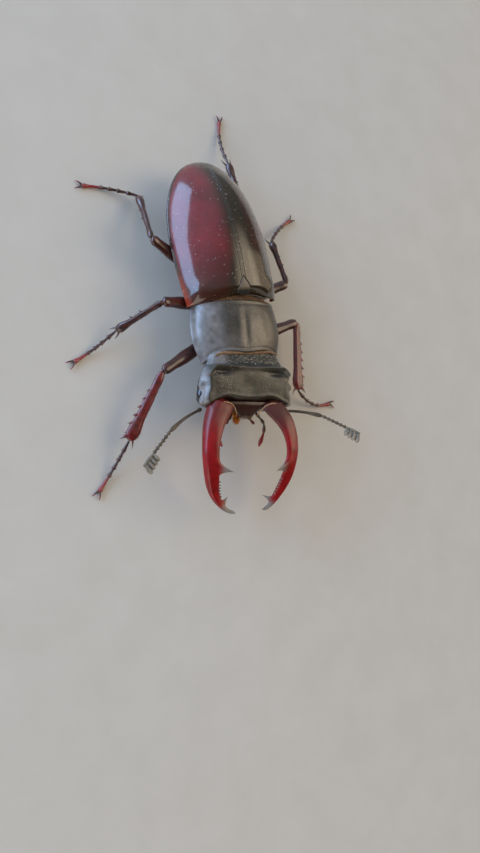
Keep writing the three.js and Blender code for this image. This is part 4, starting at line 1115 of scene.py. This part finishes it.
def lip():
    """Ovals across the mouth from the head to the lip: half width, thickness and height are splines of the
    distance ahead, and the front edge is notched in the middle."""
    t = ends_dense(80, 0.6)
    u = 8.7 + 2.9 * t
    close = round_end(np.ones(80), t, 6, False)
    half = close * spline([[4.5], [4.1], [3.35], [2.55], [1.95], [1.5]], 5 * t)[:, 0]
    height = spline([[9.75], [9.72], [9.4], [9.1], [8.85], [8.7]], 5 * t)[:, 0]
    angle = (np.arange(72) + 0.5) / 72 * 2 * np.pi
    x = half[:, None] * power(np.cos(angle), 0.75)
    thick = 0.5 * close[:, None] * power(np.sin(angle), 0.8)
    z = height[:, None] + thick + 0.12 * bell(x, 1.6) * (thick > 0)
    rings = head_point(x, u[:, None] - 0.25 * bell(x, 0.5) * t[:, None] ** 4, z)
    return closed_stack(rings, pitted=0.2, red=0.9)


make_piece("upper_lip", [lip()], HEAD, UNDERSIDE, ["clypeus_labrum"], ("pitted", "red"))

for side, word in SIDES:
    long_palp = [head_point(side * x, u, z) for x, u, z in
                 ((3.0, 9.8, 7.2), (4.6, 11.3, 6.7), (5.7, 12.6, 6.4), (5.5, 14.6, 6.2), (4.2, 17.1, 6.2))]
    rows = beads(3, 0.2, 0.36, 0.0, 0.72) + [[0.76, 0.26], [0.9, 0.45], [1.0, 0.2]]
    make_piece(f"long_palp_{word}", [rod(long_palp, rows, 8.5, 140, 20, 0.9, tip=1.0)], HEAD, ANTENNA,
               [f"maxillary_palp_{word}"])
    short_palp = [head_point(side * x, u, z) for x, u, z in
                  ((1.2, 9.9, 6.6), (2.1, 11.2, 6.45), (3.3, 12.6, 6.6))]
    make_piece(f"short_palp_{word}", [rod(short_palp, beads(3, 0.18, 0.33), 3.6, 90, 18, 0.9, tip=0.4)], HEAD,
               ANTENNA, [f"labial_palp_{word}"])

SOCKET_RIM = ((8.0, 9.75, 10.1), (7.2, 9.3, 10.75), (5.7, 9.0, 11.05), (4.3, 9.25, 10.95), (3.3, 9.9, 10.45),
              (2.6, 10.8, 9.8), (2.3, 11.5, 9.2))
for side, word in SIDES:
    path = [head_point(side * x, u, z) for x, u, z in SOCKET_RIM]
    rim = rod(path, [[0, 0.05], [0.3, 0.11], [0.8, 0.1], [1, 0.05]], 8.0, 90, 14)
    make_piece(f"jaw_socket_rim_{word}", [rim], HEAD, GOLD_HAIR)

# %% [markdown]
# ## Legs
# A beetle's leg has a coxa in the body, a femur, a tibia and a foot of five joints with two claws. The
# stance is given as headings and rises of each segment, as a surveyor gives a line, and the joints follow
# from adding the segments up. The last joint of each foot lies along the floor, with a small flat.

# %% Stance
# Femur, tibia and foot lengths, and the hip: out, along, height.
LEG_PAIRS = {
    "foreleg": ((13.8, 14.8, 11.2), (4.4, -6.3, 4.0), THORAX),
    "midleg": ((12.4, 10.8, 10.4), (4.4, 2.0, 3.7), ABDOMEN),
    "hindleg": ((12.9, 12.4, 11.6), (4.4, 9.0, 3.6), ABDOMEN),
}
# Heading and rise of the femur and the tibia, then heading and sideways bow of the foot.
STANCE = {
    "foreleg_right": ((-151.7, 9.3), (-120.1, -11.9), (-124.1, 0.3)),
    "midleg_right": ((-174.2, 24.5), (-152.0, -37.2), (-146.5, 0.3)),
    "hindleg_right": ((156.6, 21.0), (84.2, -27.3), (170.3, -0.6)),
    "foreleg_left": ((16.6, 3.1), (-94.4, -5.0), (-15.0, -1.4)),
    "midleg_left": ((17.6, 9.0), (93.4, -15.0), (39.6, 0.4)),
    "hindleg_left": ((67.6, 4.5), (99.0, -5.5), (84.7, 0.5)),
}


def direction(heading, rise):
    """The unit direction with a heading from +X towards +Y and a rise over the level."""
    heading, rise = np.radians([heading, rise])
    return np.array([np.cos(rise) * np.cos(heading), np.cos(rise) * np.sin(heading), np.sin(rise)])


def limb_frame(start, heading, rise):
    """A frame with +X along a segment and +Z as near to upright as it allows."""
    ahead = direction(heading, rise)
    left = np.array([-np.sin(np.radians(heading)), np.cos(np.radians(heading)), 0.0])
    axes = np.stack([ahead, left, np.cross(ahead, left)])
    return lambda points: np.asarray(points) @ axes + start


print("first femur points to:", direction(*STANCE["foreleg_right"][0]).round(3))

# %% [markdown]
# The femur is a flattened spindle. The tibia is a slim rod that broadens to its end, with two low keels;
# the fore tibia is a digging blade with teeth. Teeth, spurs and claws are horns of their own, rooted
# inside the rod, because they are hard spines set in sockets on the animal.

# %% Leg segments
FEMUR = [[0.0, 0.36, 0.34], [0.06, 0.72, 0.58], [0.3, 1.15, 0.82], [0.6, 1.15, 0.82], [0.85, 0.94, 0.7],
         [0.95, 0.84, 0.64], [1.0, 0.5, 0.44]]
FORE_TIBIA = [[0, 0.45, 0.4], [0.05, 0.72, 0.5], [0.2, 0.86, 0.5], [0.45, 0.98, 0.52], [0.75, 1.11, 0.56],
              [0.93, 1.18, 0.58], [1.0, 0.65, 0.4]]
SLIM_TIBIA = [[0, 0.34, 0.34], [0.05, 0.55, 0.5], [0.2, 0.54, 0.48], [0.45, 0.6, 0.5], [0.75, 0.7, 0.56],
              [0.93, 0.82, 0.62], [1.0, 0.45, 0.4]]
FEMUR_STRETCH = [1, 1.1, 1]    # along, across, upwards
COXA_LENGTH = 3.2
COXA = [[0, 0.6, 0.5], [0.2, 1.4, 1.2], [0.6, 1.5, 1.25], [0.88, 1.15, 1.0], [1, 0.55, 0.5]]


def limb_rings(start, line, length, rows, count, end_radius):
    """An oval along a straight line: half widths from a spline through the rows, closed by round ends."""
    rows = np.array(rows)
    t = ends_dense(count, 0.6)
    width, height = spline(rows[:, 1:], t, rows[:, 0]).T
    close = round_end(np.full(count, end_radius), t, length) / end_radius
    return sweep(start + line * t[:, None], width * close, height * close, sides=40), t


def rod_rings(length, rows, keel=0.0):
    """A straight limb along +X with a fine grain, and keels, which are narrow bumps along its upper and
    lower edges."""
    rings, t = limb_rings(np.zeros(3), np.array([length, 0.0, 0.0]), length, rows, 130, 0.35)
    sides = rings.shape[1]
    angle = (np.arange(sides) + 0.5) / sides * 2 * np.pi
    bumps = keel * (bell(angle - 1.1, 0.18) + bell(angle - 2.05, 0.18) + bell(angle - 5.2, 0.2))
    body = (step(0.05, 0.15, t) * step(1.0, 0.9, t))[:, None] * bumps
    rings = rings + body[..., None] * ring_normals(rings)
    return rings + (0.018 * grain(rings, 0.7, 31))[..., None] * ring_normals(rings)


HORN_POINT = 0.04    # mm, the radius at a horn's tip


def horn(root, tip, radius, bend=(0, 0, 0), flat=0.8, count=26, sides=12):
    """A curved cone: a path from root to tip that bows by the bend, with a radius that falls as
    (1 - t) ^ 0.8 to a small round end."""
    root, tip = np.asarray(root, float), np.asarray(tip, float)
    t = np.linspace(0, 1, count)[:, None]
    path = root + (tip - root) * t + np.asarray(bend) * (4 * t * (1 - t))
    size = HORN_POINT + (radius - HORN_POINT) * (1 - t[:, 0]) ** 0.8
    close = np.sqrt(1 - (1 - np.clip((1 - t[:, 0]) * 8, 0.02, 1)) ** 2)
    up = (0.0, 0.0, 1.0) if abs((tip - root)[2]) < 0.9 * np.linalg.norm(tip - root) else (1.0, 0.0, 0.0)
    return closed_stack(sweep(path, size * close, size * close * flat, sides=sides, up=up),
                        tip=step(0.35, 0.9, t))


def tibia_horns(length, is_fore, outer):
    """Teeth along the outer edge, which is at outer * Y, and the spurs at the end. Those of a fore tibia
    grow towards the foot, where two big ones end the blade."""
    places = (0.3, 0.42, 0.54, 0.66, 0.78) if is_fore else (0.42, 0.62)
    horns = []
    for k, share in enumerate(places):
        edge = np.interp(share, (0.3, 0.93), (0.86, 1.16)) if is_fore else 0.6
        reach = edge + 0.5 + (0.07 * k if is_fore else 0)
        root, tip = (share * length, outer * (edge - 0.35), 0), (share * length + 0.5, outer * reach, 0.05)
        horns.append(horn(root, tip, 0.44 if is_fore else 0.26, (-0.06, 0, 0)))
    if is_fore:
        horns.append(horn((length * 0.93, outer * 0.4, 0), (length + 0.6, outer * 1.95, 0), 0.55, (-0.12, 0, 0)))
        horns.append(horn((length * 0.9, outer * 0.5, 0), (length * 0.94, outer * 1.7, 0), 0.4, (-0.1, 0, 0)))
    for sign, reach in ((-1, 1.25), (1, 0.95)) if not is_fore else ((-1, 1.3),):
        root, tip = (length * 0.95, sign * outer * 0.4, -0.1), (length + 1.15, sign * outer * reach, -0.35)
        horns.append(horn(root, tip, 0.22, (0.0, sign * outer * 0.1, 0)))
    return horns


FOOT_AXIS_Z, CLAW = 0.3, 1.3
JOINT_SHARES = (0.2, 0.155, 0.155, 0.15, 0.34)


def foot_path(length, drop, bow, t):
    """A quadratic curve from the ankle that comes down and ends along the floor."""
    knots = np.array([[0, 0, 0], [0.55 * length, bow * 2, -drop], [length, 0, -drop]])
    t = t[:, None]
    return (1 - t) ** 2 * knots[0] + 2 * t * (1 - t) * knots[1] + t**2 * knots[2]


def foot_rings(length, drop, bow):
    """Five joints, each a slim cone that widens to a heart-shaped end over the next."""
    rows, at = [], 0.0
    for share in JOINT_SHARES:
        wide = 0.45 if share == JOINT_SHARES[-1] else 0.43
        rows += [[at + 0.012, 0.23], [at + share * 0.5, 0.29], [at + share * 0.86, wide],
                 [at + share * 0.97, 0.27]]
        at += share
    t = np.linspace(0, 1, 330)
    radius = round_end(monotone(rows, t), t, length)
    return sweep(foot_path(length, drop, bow, t), radius, radius * 0.95, sides=22), t


def claws(length, drop):
    """Two horns that arch forward and outward from the last joint, and a short spine between them."""
    shapes = []
    for side in (-1, 1):
        root, tip = (length - 0.3, side * 0.12, -drop + 0.02), (length + CLAW, side * 0.8, -drop - 0.14)
        shapes.append(horn(root, tip, 0.23, (0.1, side * 0.1, 0.24), 0.9, 40, 14))
    return shapes + [horn((length - 0.2, 0, -drop), (length + 0.45, 0, -drop - 0.02), 0.12, (0, 0, 0.05))]


def on_floor(frame_of):
    """A frame whose points never go under the floor. It cuts the small flat under a foot."""
    def placed(points):
        """The point, with its height raised to 0 if it is less."""
        points = np.array(frame_of(points))
        points[..., 2] = np.maximum(points[..., 2], 0.0)
        return points
    return placed


# %% [markdown]
# Each leg is put together here: hip, knee and ankle are worked out, and every segment is made in its own
# frame. The rings are kept, because the bristles are rooted on them later.

# %% Build the legs
HAIR_BEDS = []    # rings of limbs, with their frame, that bristles grow on later

for pair, (lengths, hip_at, body_frame) in LEG_PAIRS.items():
    for side, word in SIDES:
        name, is_fore = f"{pair}_{word}", pair == "foreleg"
        femur_line, tibia_line, (foot_heading, bow) = STANCE[name]
        hip = body_frame(np.array([side * hip_at[0], hip_at[1], hip_at[2]]))
        inner = body_frame(np.array([side * (hip_at[0] - COXA_LENGTH), hip_at[1] + 0.3, hip_at[2]]))
        knee = hip + lengths[0] * direction(*femur_line)
        ankle = knee + lengths[1] * direction(*tibia_line)
        drop = ankle[2] - FOOT_AXIS_Z
        reach = np.sqrt(lengths[2] ** 2 - drop**2)
        turn = (tibia_line[0] - femur_line[0] + 180) % 360 - 180
        outer = 1 if turn < 0 else -1

        coxa, _ = limb_rings(inner, hip - inner, COXA_LENGTH, COXA, 60, 0.6)
        make_piece(f"{name}_hip", [closed_stack(coxa)], THORAX, LEG, [f"{name}_coxa"])

        femur_of = limb_frame(hip, *femur_line)
        femur = rod_rings(lengths[0], FEMUR) * FEMUR_STRETCH
        trochanter = egg((0.35, 0, -0.05), (0.62, 0.55, 0.5), 24, 28)
        make_piece(f"{name}_thigh", [closed_stack(femur), closed_stack(trochanter)], femur_of, LEG,
                   [f"{name}_femur"])
        tibia_of = limb_frame(knee, *tibia_line)
        tibia = rod_rings(lengths[1], FORE_TIBIA if is_fore else SLIM_TIBIA, keel=0.07)
        shin = [closed_stack(tibia)] + tibia_horns(lengths[1], is_fore, outer)
        make_piece(f"{name}_shin", shin, tibia_of, SHIN if is_fore else LEG, [f"{name}_tibia"])

        foot_of = limb_frame(ankle, foot_heading, 0.0)
        foot, t = foot_rings(reach, drop, bow)
        foot_shape = closed_stack(foot, tip=0.9 * step(0.6, 0.75, t)[:, None])
        make_piece(f"{name}_foot", [foot_shape] + claws(reach, drop), on_floor(foot_of), TARSUS,
                   [f"{name}_tarsus"])
        HAIR_BEDS += [(f"{name}_thigh", femur, femur_of), (f"{name}_shin", tibia, tibia_of),
                      (f"{name}_foot", foot, foot_of)]

# %% [markdown]
# ## Antennae
# Each feeler has a long scape, an elbow, six small beads and a club of four plates that stand out to one
# side like the teeth of a comb. The plates are leaves: flat ovals carried outwards from the stem.

# %% Antennae
ANTENNAE = {
    "right": ((-153.1, 12.5), (-134.6, -2.0), 1),
    "left": ((-16.0, 30.0), (-35.7, 21.5), -1),
}
SCAPE_LENGTH, FUNICLE_LENGTH, CLUB_LENGTH, CLUB_REACH = 9.2, 5.3, 3.3, 2.0
SCAPE = [[0.0, 0.25], [0.06, 0.42], [0.14, 0.27], [0.6, 0.31], [0.9, 0.45], [1.0, 0.3]]


def leaf(along, reach, tilt):
    """A plate of the club: an oval whose thin side lies along the stem, narrow at its foot and round at
    its end, leaning a little towards the tip."""
    t = ends_dense(40, 0.6)
    path = np.stack([along + 0.3 * t + tilt * t**2, t * reach, 0 * t], 1)
    thin = spline([[0.22], [0.36], [0.42], [0.39]], 3 * t)[:, 0]
    broad = spline([[0.3], [0.6], [0.78], [0.74]], 3 * t)[:, 0]
    close = round_end(np.full(40, 0.5), t, abs(reach), False) / 0.5
    return closed_stack(sweep(path, thin * close, broad * close, sides=28), tip=step(0.5, 1.0, t)[:, None])


for side, word in SIDES:
    scape_line, flagellum_line, lamellae = ANTENNAE[word]
    root = HEAD(head_point(side * 9.0, 9.9, 7.0))
    scape_of = limb_frame(root, *scape_line)
    bow = [[-0.4, 0, 0], [SCAPE_LENGTH * 0.5, side * 0.4, 0], [SCAPE_LENGTH, 0, 0]]
    make_piece(f"scape_{word}_stalk", [rod(bow, SCAPE, SCAPE_LENGTH, 130, 24)], scape_of, ANTENNA,
               [f"scape_{word}"])
    elbow = root + SCAPE_LENGTH * direction(*scape_line)
    funicle_of = limb_frame(elbow, *flagellum_line)
    stem = [[-0.1, 0, 0], [FUNICLE_LENGTH * 0.5, 0, 0], [FUNICLE_LENGTH + 0.1, 0, 0]]
    make_piece(f"funicle_{word}_beads", [rod(stem, beads(6, 0.19, 0.37), FUNICLE_LENGTH, 200, 22)], funicle_of,
               ANTENNA, [f"funicle_{word}"])
    club_of = limb_frame(elbow + FUNICLE_LENGTH * direction(*flagellum_line), *flagellum_line)
    stem = [[0, 0, 0], [CLUB_LENGTH * 0.5, 0, 0], [CLUB_LENGTH, 0, 0]]
    plates = [rod(stem, [[0, 0.26], [0.5, 0.38], [1, 0.28]], CLUB_LENGTH, 60, 20)]
    for k in range(4):
        plates.append(leaf(0.35 + 0.85 * k, lamellae * CLUB_REACH * (0.85 + 0.06 * k), 0.1 * (k - 1.5)))
    make_piece(f"club_{word}_comb", plates, club_of, CLUB, [f"club_{word}"])

# %% [markdown]
# ## Bristles
# Golden fringes line the front and hind edges of the pronotum, brushes stand between the jaws, and the
# legs and the breast carry sparse bristles. Hair curves would not survive as a mesh, so each bristle is a
# closed cone of a few faces, and thousands of them are computed at once as arrays and joined.

# %% Bristle meshes
HAIR_SIDES, HAIR_STEPS = 3, 4
PATCH_RADIUS, MAP_EDGE = 0.0015, 0.01    # shares of the bake map
dice = np.random.default_rng(20240)


DROOP = np.array([0.0, 0.0, -0.1])


def bristles(roots, ahead, lengths, radius):
    """All bristles at once: path = root + length * (ahead * t + droop * t squared), radius falling to a
    point. Gives the points, bristle by bristle, and blocks of faces."""
    t = np.linspace(0, 1, HAIR_STEPS + 1)
    ahead = unit(ahead)
    path = (ahead[:, None] * t[:, None] + DROOP * (t**2)[:, None]) * lengths[:, None, None]
    path = path + roots[:, None]
    side = unit(np.cross(ahead, [0.31, 0.2, 0.93]))
    top = np.cross(side, ahead)
    angle = np.arange(HAIR_SIDES) / HAIR_SIDES * 2 * np.pi
    ring = np.cos(angle)[None, :, None] * side[:, None] + np.sin(angle)[None, :, None] * top[:, None]
    size = radius * (1 - t[:-1]) ** 0.6
    rings = path[:, :-1, None] + size[None, :, None, None] * ring[:, None]
    points = np.concatenate([rings.reshape(len(roots), -1, 3), path[:, -1:]], 1)
    here = np.arange(HAIR_STEPS * HAIR_SIDES).reshape(HAIR_STEPS, HAIR_SIDES)
    right = np.roll(here, -1, axis=1)
    quads = np.stack([here[:-1], right[:-1], right[1:], here[1:]], -1).reshape(-1, 4)
    tips = np.stack([here[-1], right[-1], np.full(HAIR_SIDES, HAIR_STEPS * HAIR_SIDES)], -1)
    starts = (np.arange(len(roots)) * points.shape[1])[:, None, None]
    faces = [(quads[None] + starts).reshape(-1, 4), (tips[None] + starts).reshape(-1, 3),
             here[0, ::-1][None] + starts[:, 0]]
    return points, faces


def grow(name, beds, material, radius):
    """A piece of bristles. Each bed is roots, directions, lengths and the roots' place on an unwrap, from
    0 to 1. The bake map gives every bristle a patch 0.003 across at its root's place."""
    roots, ahead, lengths, places = (np.concatenate(part) for part in zip(*beds))
    points, faces = bristles(roots, ahead, lengths, radius)
    size = points.shape[1]
    shape = {"points": points.reshape(-1, 3), "faces": faces, "values": {}}
    mesh = build_mesh(name, [shape], on_floor(THORAX), material, ())
    corner = np.empty(len(mesh.loops), np.int32)
    mesh.loops.foreach_get("vertex_index", corner)
    around = np.arange(size) % HAIR_SIDES / HAIR_SIDES * 2 * np.pi
    patch = np.stack([np.cos(around), np.sin(around)], -1) * np.linspace(1, 0.2, size)[:, None] * PATCH_RADIUS
    uv = (MAP_EDGE + (1 - 2 * MAP_EDGE) * np.clip(places, 0, 1))[:, None] + patch[None]
    layer = mesh.uv_layers.new(name="OFBake")
    layer.data.foreach_set("uv", uv.reshape(-1, 2)[corner].astype(np.float32).ravel())
    add_piece(name, mesh)


def jitter(vectors, amount):
    """Directions with a little randomness added."""
    return unit(vectors) + dice.normal(0, amount, vectors.shape)


# %% [markdown]
# The pronotum's two fringes follow its edges. At the front the bristles point ahead and lie on the nape,
# longest on either side of the middle, which makes a double arch. At the back they bridge the joint with
# the wing cases and are longest in the middle.

# %% Pronotum fringes
def edge_height(x, s):
    """Height of the pronotum's edge at x, for the hind edge s = 0 or the front edge s = 1."""
    half = pronotum_half_width(np.full_like(x, s)) - 0.35
    high = PRONOTUM_HEIGHT * 0.9 * (1 - 0.1 * s) - 0.35
    return PRONOTUM_Z + high * np.clip(1 - np.abs(x / half) ** 2.1, 0, 1) ** (1 / 2.1)


def nape_height(x, y):
    """Height of the nape over the floor at x, y: the place is taken into the head's frame and back."""
    origin = HEAD(np.zeros(3))
    axes = HEAD(np.eye(3)) - origin
    inside = (np.stack([x, y, PIVOT_Z + 2 + 0 * x], -1) - origin) @ axes.T
    inside[..., 2] = head_top(inside[..., 0], NECK_Y - inside[..., 1])
    return HEAD(inside)[..., 2]


FRINGE_HALF, NAPE_HALF = 8.0, 7.2    # mm out, the ends of the front fringe and of the nape under it


def front_fringe(count):
    """Bristles that start on the pronotum's edge and end on the nape, a little above it."""
    x = dice.uniform(-FRINGE_HALF, FRINGE_HALF, count)
    layer = dice.uniform(0, 1, count)
    y = 0.12 - front_margin(x)
    lengths = (0.38 + 0.4 * bell(np.abs(x) - 3.6, 1.9)) * dice.uniform(0.6, 1.15, count)
    on_nape = np.abs(x) < NAPE_HALF
    start = np.maximum(edge_height(x, 1.0), np.where(on_nape, nape_height(x, y), 0)) + 0.03 + 0.1 * layer
    end = np.where(on_nape, nape_height(x, y - lengths) + 0.08 + 0.12 * layer, start)
    outward = 0.1 * x / FRINGE_HALF + 0.6 * np.sign(x) * step(6.6, FRINGE_HALF, np.abs(x))
    ahead = np.stack([outward, np.full(count, -1.0), (end - start) / lengths], -1)
    places = np.stack([x / 16 + 0.5, 0.9 + 0.05 * layer], -1)
    return np.stack([x, y, start], -1), jitter(ahead, 0.2), lengths, places


def hind_fringe(count):
    """Bristles under the pronotum's hind edge that point back over the joint."""
    x = dice.uniform(-7.6, 7.6, count)
    layer = dice.uniform(0, 1, count)
    y = 0.25 * np.clip(1 - (x / 5.5) ** 2, 0, 1) - 0.3
    roots = np.stack([x, y, edge_height(x, 0.0) - 0.05 - 0.3 * layer], -1)
    ahead = np.stack([0.04 * x, np.full(count, 1.0), 0.12 - 0.1 * layer], -1)
    lengths = (0.55 + 0.85 * np.clip(1 - (x / 7.0) ** 2, 0, 1)) * dice.uniform(0.75, 1.1, count)
    return roots, jitter(ahead, 0.09), lengths, np.stack([x / 16 + 0.5, 0.1 - 0.05 * layer], -1)


grow("pronotum_front_fringe", [front_fringe(2600)], GOLD_HAIR, 0.03)
grow("pronotum_hind_fringe", [hind_fringe(3000)], GOLD_HAIR, 0.035)

# %% [markdown]
# The mouth brushes are tufts on small lobes. Each bristle starts on the lobe and points away from its
# middle and ahead. A thinner row hangs from the front edge of the lip.

# %% Mouth brushes
LOBE_OUT, LOBE_AT = 1.65, {-1: 11.1, 1: 9.8}    # mm out, and ahead of the neck on each side


def lobe_bed(side, count):
    """Bristles over a lobe: their roots are on an egg round it and they point away from its middle."""
    centre = head_point(side * LOBE_OUT, LOBE_AT[side], 7.75)
    out = unit(dice.normal(0, 1, (count, 3)) * [1, 1, 0.8] + [0, -1.3, 0])
    roots = centre + out * [0.5, 0.85, 0.42]
    ahead = unit(out) * [0.8, 1, 0.8] + np.array([-0.25 * side, -1.3, 0.1])
    lengths = dice.uniform(0.55, 1.15, count)
    places = np.stack([0.5 + out[:, 0] * 0.2 + 0.25 * side, 0.5 + out[:, 2] * 0.4], -1)
    return HEAD(roots), jitter(ahead, 0.14), lengths, places


for side, word in SIDES:
    core = closed_stack(egg(head_point(side * LOBE_OUT, LOBE_AT[side] - 0.1, 7.7), (0.6, 1.1, 0.5)))
    make_piece(f"mouth_lobe_{word}", [core], HEAD, BRUSH_HAIR, [f"maxilla_{word}"])
    grow(f"mouth_brush_{word}", [lobe_bed(side, 420)], BRUSH_HAIR, 0.035)


def lip_bed(count):
    """Bristles along the lip's front edge that point ahead and down."""
    x = dice.uniform(-1.7, 1.7, count)
    roots = HEAD(head_point(x, 11.3 - 0.12 * x**2, 8.65 + dice.uniform(-0.15, 0.15, count)))
    ahead = np.stack([0.25 * x, np.full(count, -1.0), np.full(count, -0.25)], -1)
    return roots, jitter(ahead, 0.2), dice.uniform(0.4, 1.0, count), np.stack([x / 4 + 0.5, 0.5 + 0 * x], -1)


grow("lip_bristles", [lip_bed(200)], BROWN_HAIR, 0.025)

# %% [markdown]
# Limb bristles are rooted on the rings that the limbs were made from. A random ring and a random point
# round it give the root and its normal, and the bristle leans from the normal towards the foot. The feet
# carry the most, under their joints. The breast carries a short pile that lies back.

# %% Limb and breast bristles
def ring_bed(rings, frame_of, count, length, lean, rows=(0.06, 0.96), columns=(0.0, 1.0)):
    """Roots at random grid points of the rings, between two shares of the rows and of the columns."""
    normals = ring_normals(rings)
    row = dice.integers(int(rows[0] * len(rings)), int(rows[1] * len(rings)), count)
    column = dice.integers(int(columns[0] * rings.shape[1]), int(columns[1] * rings.shape[1]), count)
    along = unit(np.gradient(rings.mean(1), axis=0))[row]
    roots, out = rings[row, column], normals[row, column]
    ahead = frame_of(roots + out * 0.01 + along * 0.01 * lean) - frame_of(roots)
    lengths = length * dice.uniform(0.6, 1.15, count)
    places = np.stack([column / rings.shape[1], row / len(rings)], -1)
    return frame_of(roots - 0.02 * out), jitter(ahead, 0.12), lengths, places


LIMB_HAIR = {"thigh": (150, 0.42), "shin": (230, 0.5), "foot": (260, 0.42)}    # how many, and mm long
LEAN_TO_FOOT = 1.6
limb_beds = [ring_bed(rings, frame_of, *LIMB_HAIR[name.split("_")[-1]], LEAN_TO_FOOT)
             for name, rings, frame_of in HAIR_BEDS]
grow("leg_bristles", limb_beds, BROWN_HAIR, 0.02)

patch_beds = []
for name, rings, frame_of in HAIR_BEDS:
    if name.startswith("foreleg") and name.endswith("thigh"):
        forward = (0.8, 1.0) if "right" in name else (0.45, 0.7)
        patch_beds.append(ring_bed(rings, frame_of, 420, 0.3, 1.8, (0.2, 0.36), forward))
grow("fore_thigh_patches", patch_beds, GOLD_HAIR, 0.022)

breast = ring_bed(THORAX_RINGS, ABDOMEN, 2600, 0.7, 1.8, (0.05, 0.95), (0.55, 0.95))
grow("breast_pile", [breast], BROWN_HAIR, 0.024)

# %% [markdown]
# ## Floor and light
# A glossy dome shows the whole room, so the room is graded: pale behind the beetle on its right, grey
# overhead and dark in front. A warm glow with a soft edge lies in it on the left, and gives the left
# shoulder its light. A box could do that too, but its straight edges would show. Boxes do the rest: a low
# cool one gives the right wing case its long reflection, a low warm one lights the left side, and one low
# on the front right lights the head and the legs.

# %% Floor, lights and room
FLOOR_HALF = 3.0    # m


def make_floor():
    """A square of pale card with faint clouds and a fine tooth."""
    material, tree, shader, place = new_finish("pale_matt_card", 0.9, IOR=1.4)
    painted(tree, shader, "#e8e4da", (clouds(tree, place, 9.0, 0.3, 0.7), "#e3dfd4"))
    bumped(tree, shader, (clouds(tree, place, 0.6), 0.01))
    mesh = bpy.data.meshes.new("floor")
    corners = [(x * FLOOR_HALF, y * FLOOR_HALF, 0) for x, y in ((-1, -1), (1, -1), (1, 1), (-1, 1))]
    mesh.from_pydata(corners, [], [(0, 1, 2, 3)])
    mesh.materials.append(material)
    floor = bpy.data.objects.new("floor", mesh)
    bpy.context.collection.objects.link(floor)


def add_softbox(name, azimuth, elevation, distance, size, radiance, hex_colour):
    """A rectangular light in the direction given, facing the origin, which is along its own -Z. Its power is
    radiance * pi * area."""
    data = bpy.data.lights.new(name, "AREA")
    data.shape, data.size, data.size_y = "RECTANGLE", size[0], size[1]
    data.energy, data.color = radiance * np.pi * size[0] * size[1], linear(hex_colour)[:3]
    back = direction(azimuth, elevation)
    right = unit(np.cross([0.0, 0.0, 1.0], back))
    axes = np.eye(4)
    axes[:3, 0], axes[:3, 1], axes[:3, 2], axes[:3, 3] = right, np.cross(back, right), back, back * distance
    box = bpy.data.objects.new(name, data)
    bpy.context.collection.objects.link(box)
    box.matrix_world = Matrix(axes.tolist())


ROOM_AXIS = (-0.441, 0.83, 0.342)    # towards the bright side of the room
ROOM_COLOURS = ((0.2, "#3a3830"), (0.5, "#3e403e"), (0.74, "#747c80"), (0.9, "#bcbecc"))
GLOW_AT = (3.0, 46.0)          # azimuth and elevation, degrees
GLOW_WIDTH = (29.0, 9.0)       # degrees from its middle to where it starts and to where it is full
GLOW_COLOUR, GLOW_RADIANCE = "#ffe9cc", 2.25


def make_room():
    """A world whose colour runs along the room's axis: the share is half of (direction . axis + 1). The
    glow is added round its own axis, eased by the cosine of the angle to it."""
    world = bpy.data.worlds.new("graded_room")
    world.use_nodes = True
    tree = world.node_tree
    facing = add_node(tree, "ShaderNodeTexCoord").outputs["Generated"]
    cosine_to = lambda axis: add_node(tree, "ShaderNodeVectorMath", {0: facing}, {1: axis},
                                      operation="DOT_PRODUCT").outputs["Value"]
    share = add_node(tree, "ShaderNodeMapRange", {"Value": cosine_to(ROOM_AXIS)}, {"From Min": -1.0})
    colours = add_node(tree, "ShaderNodeValToRGB", {"Fac": share.outputs["Result"]})
    stops = colours.color_ramp.elements
    while len(stops) < len(ROOM_COLOURS):
        stops.new(0.5)
    for stop, (place, hex_colour) in zip(stops, ROOM_COLOURS):
        stop.position, stop.color = place, linear(hex_colour)
    outer, inner = np.cos(np.radians(GLOW_WIDTH)).tolist()
    eased = {"From Min": outer, "From Max": inner, "To Max": GLOW_RADIANCE}
    glow = add_node(tree, "ShaderNodeMapRange", {"Value": cosine_to(tuple(direction(*GLOW_AT)))}, eased,
                    interpolation_type="SMOOTHSTEP")
    lamp = add_node(tree, "ShaderNodeVectorMath", {0: glow.outputs["Result"]}, {1: linear(GLOW_COLOUR)[:3]},
                    operation="MULTIPLY")
    lit = add_node(tree, "ShaderNodeVectorMath", {0: colours.outputs["Color"], 1: lamp.outputs["Vector"]},
                   operation="ADD")
    tree.links.new(lit.outputs["Vector"], tree.nodes["Background"].inputs["Color"])
    bpy.context.scene.world = world


make_floor()
make_room()
# Azimuth and elevation in degrees, distance and size in metres, radiance, colour.
for box in (("cool_softbox", 148, 15, 0.7, (0.98, 0.38), 5.0, "#a8cfff"),
            ("warm_low_softbox", 3.5, 22, 0.7, (0.42, 0.46), 0.7, "#ffe6c4"),
            ("side_softbox", 235, 14, 0.8, (0.85, 0.38), 1.8, "#fff2e4")):
    add_softbox(*box)
bpy.context.scene.view_settings.view_transform = "Standard"
